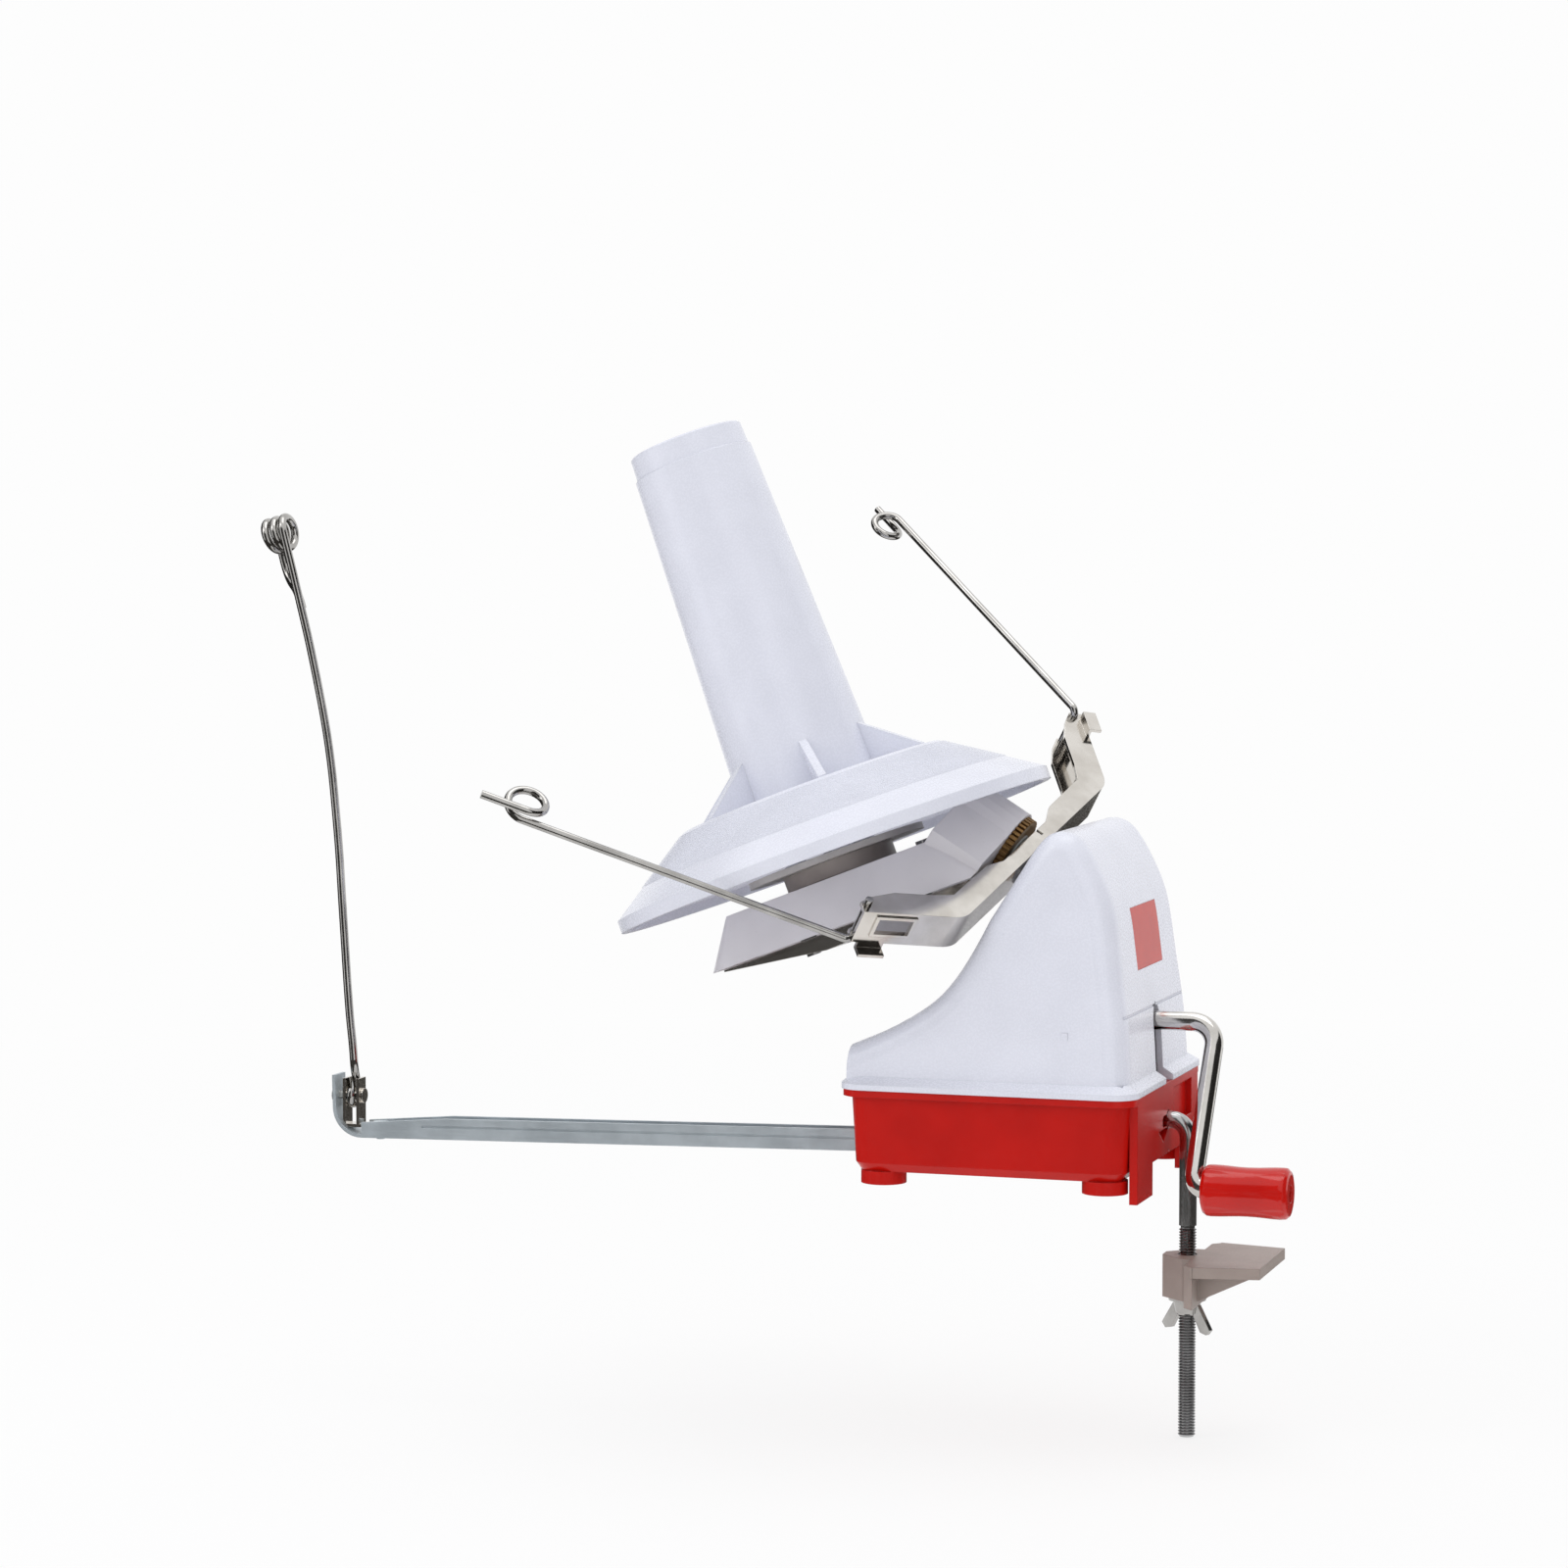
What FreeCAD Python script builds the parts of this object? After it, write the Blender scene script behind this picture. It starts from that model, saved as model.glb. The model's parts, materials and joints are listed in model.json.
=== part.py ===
import FreeCAD, Part
import math
import os
from FreeCAD import Placement, Rotation, Vector

# Hand-cranked yarn ball winder with a flyer, clamped to a table edge.
# Millimetres. X points to the crank, Z up, and the feet stand on Z = 0 with the body centred on the origin.

# Fits between pieces
run_fit = 0.08
slip_gap = 0.3
wire_fit = 0.08
backlash = 0.3

# Base tray
base_left = 48.9
base_right = 48.2
base_half_y = 52.4
base_corner = 7.0
base_draft = 1.3
base_heel = 1.9
base_bottom = 4.5
seam_z = 32.5
rim_left = 51.7
rim_right = 50.6
rim_half_y = 54.0
rim_height = 2.4
tray_wall = 2.4
deck_bottom = 12.3
deck_thick = 2.4
foot_radius = 7.75
foot_x = (-38.5, 38.8)
foot_y = 43.0
leg_bottom = -3.2
far_leg_bottom = -0.8
near_leg_inner_y = -23.5
far_leg_inner_y = 22.5
leg_outer_y = 46.0
web_edge = 8.0
end_wall_x = 50.6
end_wall_thick = 2.8
end_pocket_y = (8.5, 36.0)
end_pocket_z = (17.0, 29.5)
pocket_depth = 2.2
leg_slit = 1.4
notch_y = -7.0
notch_half = 7.5
notch_top = 17.0
notch_low = 12.5
rod_slot_y = -6.8
rod_slot_radius = 2.0

# Upper housing
housing_wall = 2.2
housing_top_z = 119.6
housing_left = 49.7
housing_half_y = 50.3
housing_side_lean = 6.3
lip_left = 52.4
lip_right = 51.0
lip_half_y = 54.6
lip_corner = 9.0
lip_height = 4.4
step_z = 59.0
shoulder_z = 46.8
badge_half_y = 18.5
badge_z = (72.5, 93.6)
badge_thick = 0.8
slot_width = 10.6
slot_peak = 6.6
screw_x = (-22.0, 26.0)
screw_y = 43.5
screw_radius = 1.8
boss_radius = 3.8

# Crank
crank_z = 53.6
crank_rod_radius = 3.25
crank_throw = 60.2
crank_elbow_x = 67.5
crank_arm_x = 65.3
crank_inner_x = -7.5
crank_rest_angle = 27.5
crank_bend = 8.5
knob_bend = 5.0
knob_length = 29.8
knob_radius = 8.8
knob_waist = 8.25
knob_flute = 0.5
knob_flutes = 8
bush_wall = 1.7
post_half_y = 9.0
inner_post_x = (-5.5, -1.0)
outer_post_x = (30.0, 35.0)

# Flyer: its axis leans back from the spool, and its yoke whirls round the spool
flyer_x = 1.5
flyer_z = 106.3
flyer_lean = 58.2
yoke_roll = -115.5
yoke_half = 54.0
arm_end_u = 81.3
arm_rise = 25.5
yoke_width = 14.0
yoke_sheet = 1.4
flange_depth = 5.4
flange_middle = 8.4
flange_arm = 10.2
yoke_bend = 10.0
drive_shaft_radius = 2.0
head_tube_wall = 1.5
flyer_tube_wall = 1.5
crank_ratio_teeth = (60, 20)
drive_ratio_teeth = (48, 20)
pinion_front = -12.0
drive_gear_front = -29.0
gear_face = 5.5

# Wire arms and their eyes
wire_radius = 1.4
arm_pivot_u = 77.5
arm_pivot_rise = 3.5
arm_side = 9.8
arm_wire_bend = 2.6
ring_u = 125.6
ring_v = 0.9
ring_height = 134.2
ring_sizes = (6.2, 5.0)
ring_tilt = 0.0
ring_advance = 4.3
tip_lengths = (16.0, 13.0)

# Spool, measured along its own axis from the bottom edge of the flange
spool_x = -68.9
spool_z = 107.14
spool_lean = 21.05
flange_radius = 80.0
flange_rim = 4.5
plateau_radius = 48.0
plateau_height = 25.7
spool_top = 155.9
tube_top_radius = 21.2
tube_base_radius = 25.95
spool_wall = 2.0
collar_length = 8.5
collar_step = 0.7
fin_count = 6
fin_height = 15.5
fin_reach = 45.5
fin_thick = 3.0
ridge_count = 18
ridge_pitch = 1.25
ridge_depth = 0.35
spindle_radius = 4.0
spindle_top = 33.0
disc_radius = 32.4
disc_top = 1.2
disc_bottom = -1.1
hub_radius = 20.3
wheel_top = -8.6
wheel_bottom = -11.6

# Gears of the head under the spool
head_module = 1.0
lay_teeth = 12
idler_teeth = 21
wheel_teeth = 48
head_bevel_teeth = 14
bevel_far = 12.2
bevel_near = 9.0
lay_shaft_radius = 2.0
idler_pin_radius = 3.0
carrier_top = -12.4
carrier_thick = 2.2

# Guard hood and pan
hood_wall = 1.3
hood_top = -7.0
hood_bottom = -24.0
hood_top_v = (-38.5, 43.0)
hood_bottom_v = (-49.0, 56.0)
hood_top_half_y = 27.0
hood_bottom_half_y = 35.0
hood_rear_h = 9.5
hood_front_h = 30.5
hood_shoulder = -3.5
hood_crown = 14.2
hood_crown_h = 23.0
collar_radius_out = 13.2
collar_ribs = 40
pan_depth = -30.0
pan_half_y = 22.0
pan_sheet = 1.2

# Guide arm, mast and their hinge
arm_droop = 1.2
arm_mouth_x = -47.3
arm_root_z = 8.1
arm_roof_z = 11.9
arm_width = 9.0
arm_height = 7.6
arm_sheet = 1.3
arm_inner_x = -10.0
arm_outer_x = -259.9
arm_upturn_top = 22.5
arm_bend = 11.0
flange_low = 5.6
mast_pin_z = 15.0
mast_pin_radius = 1.5
mast_wire_radius = 1.5
mast_x = -253.5
mast_coil_radius = 5.5
mast_coil_pitch = 3.7
mast_coil_turns = 2.5

# Table clamp
clamp_rod_radius = 3.0
clamp_hole_z = 19.5
clamp_rod_x = 57.6
clamp_rod_bottom = -90.0
clamp_hook_x = 39.5
clamp_hook_top = 28.5
clamp_bend = 6.0
jaw_top = -26.8
jaw_height = 14.6
jaw_plate = 3.8
jaw_reach = 29.6
jaw_tip_half_y = 21.5
jaw_root_half_y = 26.0
washer_thick = 1.2
washer_radius = 6.5
nut_height = 5.0
nut_radius = 4.9
wing_reach = 11.2
wing_angle = -31.0


def box(x0, x1, y0, y1, z0, z1):
    return Part.makeBox(x1 - x0, y1 - y0, z1 - z0, Vector(x0, y0, z0))


def rod(start, end, radius):
    along = end - start
    return Part.makeCylinder(radius, along.Length, start, along)


def pillar(x, y, z0, z1, radius):
    return rod(Vector(x, y, z0), Vector(x, y, z1), radius)


def sleeve(z0, z1, inner, outer):
    return pillar(0, 0, z0, z1, outer).cut(pillar(0, 0, z0 - 1, z1 + 1, inner))


def turned(outline):
    corners = [Vector(r, 0, z) for r, z in outline]
    face = Part.Face(Part.makePolygon(corners + corners[:1]))
    return face.revolve(Vector(0, 0, 0), Vector(0, 0, 1), 360)


def slab(outline, y0, y1):
    # an outline in X and Z, pushed along Y
    corners = [Vector(x, y0, z) for x, z in outline]
    return Part.Face(Part.makePolygon(corners + corners[:1])).extrude(Vector(0, y1 - y0, 0))


def plate(outline, z0, z1):
    # an outline in X and Y, pushed along Z
    corners = [Vector(x, y, z0) for x, y in outline]
    return Part.Face(Part.makePolygon(corners + corners[:1])).extrude(Vector(0, 0, z1 - z0))


def side_slab(outline, x0, x1):
    # an outline in Y and Z, pushed along X
    corners = [Vector(x0, y, z) for y, z in outline]
    return Part.Face(Part.makePolygon(corners + corners[:1])).extrude(Vector(x1 - x0, 0, 0))


def bar_of(sides, across, z0, z1):
    # a bar with that many sides, measured across its flats
    reach = across / 2.0 / math.cos(math.pi / sides)
    corners = []
    for i in range(sides):
        angle = 2 * math.pi * (i + 0.5) / sides
        corners.append((reach * math.cos(angle), reach * math.sin(angle)))
    return plate(corners, z0, z1)


def round_rect(x0, x1, y0, y1, radius, z):
    k = radius * (1 - math.sqrt(0.5))
    edges = []
    turns = ((x1, y1, -1, -1), (x0, y1, 1, -1), (x0, y0, 1, 1), (x1, y0, -1, 1))
    starts = []
    ends = []
    for i, (x, y, sx, sy) in enumerate(turns):
        on_x = Vector(x + sx * radius, y, z)
        on_y = Vector(x, y + sy * radius, z)
        first, last = (on_y, on_x) if i % 2 == 0 else (on_x, on_y)
        middle = Vector(x + sx * k, y + sy * k, z)
        edges.append(Part.Arc(first, middle, last).toShape())
        starts.append(first)
        ends.append(last)
    straight = [Part.makeLine(ends[i], starts[(i + 1) % 4]) for i in range(4)]
    loop = []
    for i in range(4):
        loop.append(edges[i])
        loop.append(straight[i])
    return Part.Wire(loop)


def tapered(low, high):
    return Part.makeLoft([low, high], True, True)


def joined(pieces):
    whole = pieces[0]
    for piece in pieces[1:]:
        whole = whole.fuse(piece)
    return whole.removeSplitter()


def arc_between(start, heading, end):
    chord = end - start
    line = Vector(chord).normalize()
    cosine = max(-1.0, min(1.0, heading.dot(line)))
    half = math.acos(cosine)
    if half < 1e-5:
        return Part.makeLine(start, end)
    bulge = (heading - line * cosine).normalize()
    middle = (start + end) * 0.5 + bulge * (chord.Length / 2 * math.tan(half / 2))
    return Part.Arc(start, middle, end).toShape()


def wire_spine(stations):
    # a line through stations of (point, heading), with two arcs between neighbours
    edges = []
    for (p0, t0), (p1, t1) in zip(stations, stations[1:]):
        gap = p1 - p0
        if gap.getAngle(t0) < 1e-5 and gap.getAngle(t1) < 1e-5:
            edges.append(Part.makeLine(p0, p1))
            continue
        total = t0 + t1
        square = 2 * (t0.dot(t1) - 1)
        linear = -2 * gap.dot(total)
        if abs(square) < 1e-9:
            reach = -gap.dot(gap) / linear
        else:
            root = math.sqrt(linear * linear - 4 * square * gap.dot(gap))
            reach = (-linear - root) / (2 * square)
            if reach <= 0:
                reach = (-linear + root) / (2 * square)
        joint = (p0 + t0 * reach + p1 - t1 * reach) * 0.5
        edges.append(arc_between(p0, t0, joint))
        heading = (p1 - t1 * reach - joint).normalize()
        edges.append(arc_between(joint, heading, p1))
    return Part.Wire(edges)


def wire_run(stations, radius):
    spine = wire_spine(stations)
    start, heading = stations[0]
    section = Part.Wire(Part.makeCircle(radius, start, heading))
    return spine.makePipeShell([section], True, False)


def least_gap(stations, radius):
    # the narrowest air between two stretches of one wire that lie far apart along it
    step = 0.5
    points = wire_spine(stations).discretize(Distance=step)
    apart = int(4.5 * radius / step) + 8
    nearest = 1e9
    for i in range(len(points) - apart):
        for j in range(i + apart, len(points)):
            nearest = min(nearest, points[i].distanceToPoint(points[j]))
    return nearest - 2 * radius


def bent(corners, bends):
    # stations for a rod through corners, each with its own bend radius
    first = (corners[1] - corners[0]).normalize()
    stations = [(corners[0], first)]
    for before, corner, after, bend in zip(corners, corners[1:], corners[2:], bends):
        arriving = (corner - before).normalize()
        leaving = (after - corner).normalize()
        reach = bend * math.tan(arriving.getAngle(leaving) / 2)
        stations.append((corner - arriving * reach, arriving))
        stations.append((corner + leaving * reach, leaving))
    last = (corners[-1] - corners[-2]).normalize()
    stations.append((corners[-1], last))
    return stations


def coil(start, heading, inward, radius, advance, quarters, hand=1):
    # stations every quarter turn, winding toward inward and stepping sideways
    centre = start + inward * radius
    sideways = heading.cross(inward) * hand
    pitch_slope = advance * 4 / (2 * math.pi * radius)
    stations = []
    for i in range(quarters + 1):
        angle = i * math.pi / 2
        out = inward * -math.cos(angle) + heading * math.sin(angle)
        along = heading * math.cos(angle) + inward * math.sin(angle)
        slope = 0 if i in (0, quarters) else pitch_slope
        point = centre + out * radius + sideways * (advance * i)
        stations.append((point, (along + sideways * slope).normalize()))
    return stations


def folded(corners, low, high, bend, y0, y1):
    # a bent sheet: a path in X and Z, thickened from low to high on its left side
    def run(shift):
        points = [Vector(x, 0, z) for x, z in corners]
        moved = []
        radii = []
        for i, point in enumerate(points):
            before = (point - points[i - 1]).normalize() if i else None
            after = (points[i + 1] - point).normalize() if i < len(points) - 1 else None
            before = before or after
            after = after or before
            left = Vector(-before.z - after.z, 0, before.x + after.x).normalize()
            moved.append(point + left * (shift / left.dot(Vector(-before.z, 0, before.x))))
            turn = before.x * after.z - before.z * after.x
            radii.append(bend - shift if turn > 0 else bend + shift)
        edges = []
        here = moved[0]
        for i in range(1, len(moved) - 1):
            arriving = (moved[i] - moved[i - 1]).normalize()
            leaving = (moved[i + 1] - moved[i]).normalize()
            angle = arriving.getAngle(leaving)
            reach = radii[i] * math.tan(angle / 2)
            on = moved[i] - arriving * reach
            off = moved[i] + leaving * reach
            edges.append(Part.makeLine(here, on))
            edges.append(arc_between(on, arriving, off))
            here = off
        edges.append(Part.makeLine(here, moved[-1]))
        return edges, moved[0], moved[-1]

    first, low_start, low_end = run(low)
    second, high_start, high_end = run(high)
    ends = [Part.makeLine(low_end, high_end), Part.makeLine(high_start, low_start)]
    outline = Part.Wire(Part.__sortEdges__(first + second + ends))
    face = Part.Face(outline)
    face.translate(Vector(0, y0, 0))
    return face.extrude(Vector(0, y1 - y0, 0))


def tooth_outline(teeth, pitch, above, below, tooth_at_zero):
    half = math.pi / 2 / teeth - backlash / 4 / pitch
    tip = pitch + above
    root = pitch - below
    half_tip = half - 0.40 * above / pitch
    half_root = half + 0.22 * below / pitch
    corners = []
    for i in range(teeth):
        centre = 2 * math.pi * (i if tooth_at_zero else i + 0.5) / teeth
        steps = ((root, -half_root), (pitch, -half), (tip, -half_tip))
        steps += ((tip, half_tip), (pitch, half), (root, half_root))
        for radius, shift in steps:
            angle = centre + shift
            corners.append((radius * math.cos(angle), radius * math.sin(angle)))
    return corners


def spur(teeth, z0, z1, tooth_at_zero):
    pitch = head_module * teeth / 2.0
    outline = tooth_outline(teeth, pitch, 0.95 * head_module, 1.25 * head_module, tooth_at_zero)
    return plate(outline, z0, z1)


def bevel(teeth, cone, far, near, tooth_at_zero):
    # the apex is at the origin and the axis is Z
    pitch = far * math.tan(cone)
    module = 2 * pitch / teeth
    reach = far / math.cos(cone)
    above = far * math.tan(cone + math.atan(0.9 * module / reach)) - pitch
    below = pitch - far * math.tan(cone - math.atan(1.2 * module / reach))
    outline = tooth_outline(teeth, pitch, above, below, tooth_at_zero)
    scale = near / far
    big = [Vector(x, y, far) for x, y in outline]
    small = [Vector(x * scale, y * scale, near) for x, y in outline]
    faces = [Part.Face(Part.makePolygon(big + big[:1]))]
    faces.append(Part.Face(Part.makePolygon(small + small[:1])))
    for i in range(len(big)):
        j = (i + 1) % len(big)
        faces.append(Part.Face(Part.makePolygon([big[i], big[j], small[j], small[i], big[i]])))
    return Part.Solid(Part.Shell(faces))


def cone_angles(wheel, pinion, between):
    small = math.atan(math.sin(between) / (float(wheel) / pinion + math.cos(between)))
    return between - small, small


nodes = {}


def keep(name, pieces, place=None):
    shapes = pieces if isinstance(pieces, list) else [pieces]
    placed = []
    for shape in shapes:
        copy = shape.copy()
        if place is not None:
            copy.Placement = place.multiply(copy.Placement)
        placed.append(copy)
    nodes[name] = placed[0] if len(placed) == 1 else Part.makeCompound(placed)


# Frames of the two leaning axes and of the crank
y_axis = Vector(0, 1, 0)
flyer_origin = Vector(flyer_x, 0, flyer_z)
flyer_place = Placement(flyer_origin, Rotation(y_axis, -flyer_lean))
yoke_place = flyer_place.multiply(Placement(Vector(0, 0, 0), Rotation(Vector(0, 0, 1), yoke_roll)))
spool_place = Placement(Vector(spool_x, 0, spool_z), Rotation(y_axis, -spool_lean))
crank_place = Placement(Vector(0, 0, crank_z), Rotation(Vector(1, 0, 0), -crank_rest_angle))
flyer_axis = flyer_place.multVec(Vector(0, 0, 1)) - flyer_origin
drive_angle = math.radians(90 - flyer_lean)
head_angle = math.radians(flyer_lean - spool_lean)
apex_distance = (flyer_z - crank_z) / flyer_axis.z
apex = flyer_origin - flyer_axis * apex_distance

# Radii that follow one another along the flyer axis
head_tube_inner = drive_shaft_radius + run_fit
head_tube_outer = head_tube_inner + head_tube_wall
flyer_tube_inner = head_tube_outer + run_fit
flyer_tube_outer = flyer_tube_inner + flyer_tube_wall
flyer_bush_inner = flyer_tube_outer + run_fit
flyer_bush_outer = flyer_bush_inner + bush_wall
housing_face_h = -5.2


def half_width(z):
    return housing_half_y - housing_side_lean * (z - 36.0) / 72.0


def moved_inward(points, shift):
    result = []
    for i, (x, z) in enumerate(points):
        ahead = points[min(i + 1, len(points) - 1)]
        behind = points[max(i - 1, 0)]
        run = math.hypot(ahead[0] - behind[0], ahead[1] - behind[1])
        nx = (ahead[1] - behind[1]) / run
        nz = -(ahead[0] - behind[0]) / run
        result.append((x + nx * shift, z + nz * shift))
    return result


def housing_form(inset, edge_round):
    # side view of the housing, pushed across, then trimmed by the leaning sides
    slope_x = math.cos(math.radians(flyer_lean))
    slope_z = math.sin(math.radians(flyer_lean))
    face_x = flyer_x - flyer_axis.x * 5.2
    face_z = flyer_z - flyer_axis.z * 5.2
    low = (face_x - 16.0 * slope_x, face_z - 16.0 * slope_z)
    high = (face_x + 8.0 * slope_x, face_z + 8.0 * slope_z)
    front = [(-housing_left, shoulder_z), (-41.0, 50.0), (-25.0, 58.4), (-15.0, 67.5), (-8.0, 79.0), low]
    crown = [high, (high[0] + 4.4, high[1] + 7.1), (19.0, housing_top_z + 1.6), (28.0, housing_top_z + 0.6)]
    crown += [(33.4, 112.0), (39.4, 100.0), (42.0, 90.0), (43.8, 72.5), (46.2, 58.0), (47.0, 46.0)]
    crown.append((47.6, seam_z))
    front = moved_inward(front, inset)
    crown = moved_inward(crown, inset)
    front[0] = (-housing_left + inset, front[0][1])
    front_points = [Vector(x, 0, z) for x, z in front]
    crown_points = [Vector(x, 0, z) for x, z in crown]
    edges = []
    for points in (front_points, crown_points):
        curve = Part.BSplineCurve()
        curve.buildFromPoles(points)
        edges.append(curve.toShape())
    floor_point = Vector(-housing_left + inset, 0, seam_z)
    edges.append(Part.makeLine(front_points[-1], crown_points[0]))
    edges.append(Part.makeLine(crown_points[-1], floor_point))
    edges.append(Part.makeLine(floor_point, front_points[0]))
    face = Part.Face(Part.Wire(Part.__sortEdges__(edges)))
    face.translate(Vector(0, -60, 0))
    form = face.extrude(Vector(0, 120, 0))
    low_y = half_width(seam_z) - inset
    top_y = half_width(130.0) - inset
    sides = [(-low_y, seam_z), (low_y, seam_z), (top_y, 130.0), (-top_y, 130.0)]
    form = form.common(side_slab(sides, -60, 60)).Solids[0]
    long_edges = []
    for edge in form.Edges:
        middle = edge.CenterOfMass
        if abs(middle.y) > 30 and middle.z > seam_z + 1.5 and middle.x > -housing_left + inset + 1.0:
            long_edges.append(edge)
    return form.makeFillet(edge_round, long_edges)


# Base tray with feet, deck and the two legs that hang over the table edge
rim_low = seam_z - rim_height


def tray_rect(z, inset):
    narrowing = base_draft * (seam_z - z) / (seam_z - base_bottom) + inset
    half_y = base_half_y - narrowing
    return round_rect(-base_left + narrowing, base_right - narrowing, -half_y, half_y, base_corner - inset,
                      z)


deck_top = deck_bottom + deck_thick
heel_top = base_bottom + 1.5 * base_heel
tray = tapered(tray_rect(heel_top, 0), tray_rect(seam_z, 0))
tray = tray.fuse(tapered(tray_rect(base_bottom, base_heel), tray_rect(heel_top, 0)))
rim = Part.Face(round_rect(-rim_left, rim_right, -rim_half_y, rim_half_y, base_corner + 1, rim_low))
tray = tray.fuse(rim.extrude(Vector(0, 0, rim_height)))
outside = []
for y0, y1, low in ((-leg_outer_y, near_leg_inner_y, leg_bottom),
                    (far_leg_inner_y, leg_outer_y, far_leg_bottom),
                    (near_leg_inner_y - 0.1, far_leg_inner_y + 0.1, web_edge)):
    outside.append(box(end_wall_x - end_wall_thick, end_wall_x, y0, y1, low, seam_z - 0.5))
tray = joined([tray] + outside)
slit_x = end_wall_x - end_wall_thick
tray = tray.cut(box(slit_x - leg_slit, slit_x, -60, near_leg_inner_y, base_bottom - 1, base_bottom + 1.2))
tray = tray.cut(tapered(tray_rect(deck_top, tray_wall), tray_rect(seam_z + 0.5, tray_wall)))
tray = tray.cut(tapered(tray_rect(base_bottom - 0.5, tray_wall), tray_rect(deck_bottom, tray_wall)))
feet = []
for x in foot_x:
    for y in (-foot_y, foot_y):
        feet.append(pillar(x, y, 0, base_bottom + 0.01, foot_radius))
        core = pillar(x, y, base_bottom, deck_bottom + 0.5, foot_radius)
        feet.append(core.common(tapered(tray_rect(base_bottom, base_heel), tray_rect(heel_top, 0)).fuse(
            tapered(tray_rect(heel_top, 0), tray_rect(seam_z, 0)))))
tray = joined([tray] + feet)
pocket_x = end_wall_x - pocket_depth
tray = tray.cut(box(pocket_x, 60, end_pocket_y[0], end_pocket_y[1], end_pocket_z[0], end_pocket_z[1]))
notch = [(notch_y - notch_half, notch_top), (notch_y + notch_half, notch_top), (notch_y, notch_low)]
tray = tray.cut(side_slab(notch, pocket_x, 60))
small_notch = [(-1.5, web_edge - 0.5), (3.0, web_edge - 0.5), (0.8, web_edge + 1.0)]
tray = tray.cut(side_slab(small_notch, slit_x - 0.5, 60))
clamp_hole = clamp_rod_radius + slip_gap
tray = tray.cut(rod(Vector(40, 0, clamp_hole_z), Vector(60, 0, clamp_hole_z), clamp_hole))
tray = tray.cut(rod(Vector(43, rod_slot_y, clamp_hole_z), Vector(60, rod_slot_y, clamp_hole_z),
                    rod_slot_radius))
tray = tray.cut(box(43, 60, rod_slot_y, 0, clamp_hole_z - rod_slot_radius, clamp_hole_z + rod_slot_radius))
arm_half_y = arm_width / 2
tray = tray.cut(box(-60, -40, -arm_half_y - slip_gap, arm_half_y + slip_gap, 0, arm_roof_z + 0.35))
for x in screw_x:
    for y in (-screw_y, screw_y):
        tray = tray.cut(pillar(x, y, deck_bottom - 1, deck_top + 1, screw_radius + 0.2))
frame_screw_spots = [(-2.0, -24.0), (-2.0, 24.0), (32.0, -30.0), (32.0, 30.0)]
clip_screw_spots = [(-24.0, -9.5), (-24.0, 9.5)]
for x, y in frame_screw_spots + clip_screw_spots:
    tray = tray.cut(pillar(x, y, deck_bottom - 1, deck_top + 1, 1.25))

# Upper housing
shell = housing_form(0, 8.0)
shell = shell.cut(housing_form(housing_wall, 5.5).fuse(box(-44, 44, -44, 44, seam_z - 1, seam_z + 0.2)))
lip_low = Part.Face(round_rect(-lip_left, lip_right, -lip_half_y, lip_half_y, lip_corner, seam_z))
lip = lip_low.extrude(Vector(0, 0, lip_height * 0.45))
lip_mid = seam_z + lip_height * 0.45
lip = lip.fuse(tapered(round_rect(-lip_left, lip_right, -lip_half_y, lip_half_y, lip_corner, lip_mid),
                       round_rect(-housing_left + 0.3, 47.2, -lip_half_y + 4.6, lip_half_y - 4.6,
                                  lip_corner - 3.0,
                                  seam_z + lip_height)))
lip = lip.cut(box(-48.6, 46.0, -49.0, 49.0, seam_z - 1, seam_z + 8))
housing_extras = [lip]
for x in screw_x:
    for y in (-1, 1):
        top = 54.0 if x > 0 else 45.0
        housing_extras.append(pillar(x, y * screw_y, deck_top + slip_gap, top, boss_radius))
        wall_y = half_width(seam_z) - 1.0
        y0, y1 = sorted((y * (screw_y + 2.0), y * (wall_y - 0.6)))
        housing_extras.append(box(x - 1.2, x + 1.2, y0, y1, seam_z + 0.5, top))
bush_boss = sleeve(-10.2, housing_face_h - 0.6, flyer_bush_outer - 0.5, flyer_bush_outer + 2.6)
bush_boss.Placement = flyer_place
housing_extras.append(bush_boss)
shell = joined([shell] + housing_extras)
for x in screw_x:
    for y in (-screw_y, screw_y):
        shell = shell.cut(pillar(x, y, 0, deck_top + 16, screw_radius))
bush_hole = pillar(0, 0, -12, 2, flyer_bush_outer)
bush_hole.Placement = flyer_place
shell = shell.cut(bush_hole)
slot_half = slot_width / 2
arch = [(-slot_half, seam_z - 1), (slot_half, seam_z - 1), (slot_half, crank_z),
        (slot_half - 0.9, crank_z + 2.6),
        (slot_half - 2.6, crank_z + 4.9), (0, crank_z + slot_peak), (-slot_half + 2.6, crank_z + 4.9),
        (-slot_half + 0.9, crank_z + 2.6), (-slot_half, crank_z)]
shell = shell.cut(side_slab(arch, 38, 60))
step_band = box(30, 60, -44.0, 44.0, step_z - 0.4, step_z + 0.4)
shell = shell.cut(housing_form(0, 8.0).cut(housing_form(0.45, 7.6)).common(step_band))
badge_cut = box(30, 60, -badge_half_y, badge_half_y, badge_z[0], badge_z[1])
badge_skin = housing_form(0, 8.0).cut(housing_form(badge_thick, 7.2))
badge = badge_skin.common(badge_cut)
shell = shell.cut(housing_form(0, 8.0).cut(housing_form(badge_thick, 7.2)).common(badge_cut))
keep("badge", badge.Solids[0])
keep("upper_housing", shell.Solids[0] if shell.ShapeType != "Solid" else shell)

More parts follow.
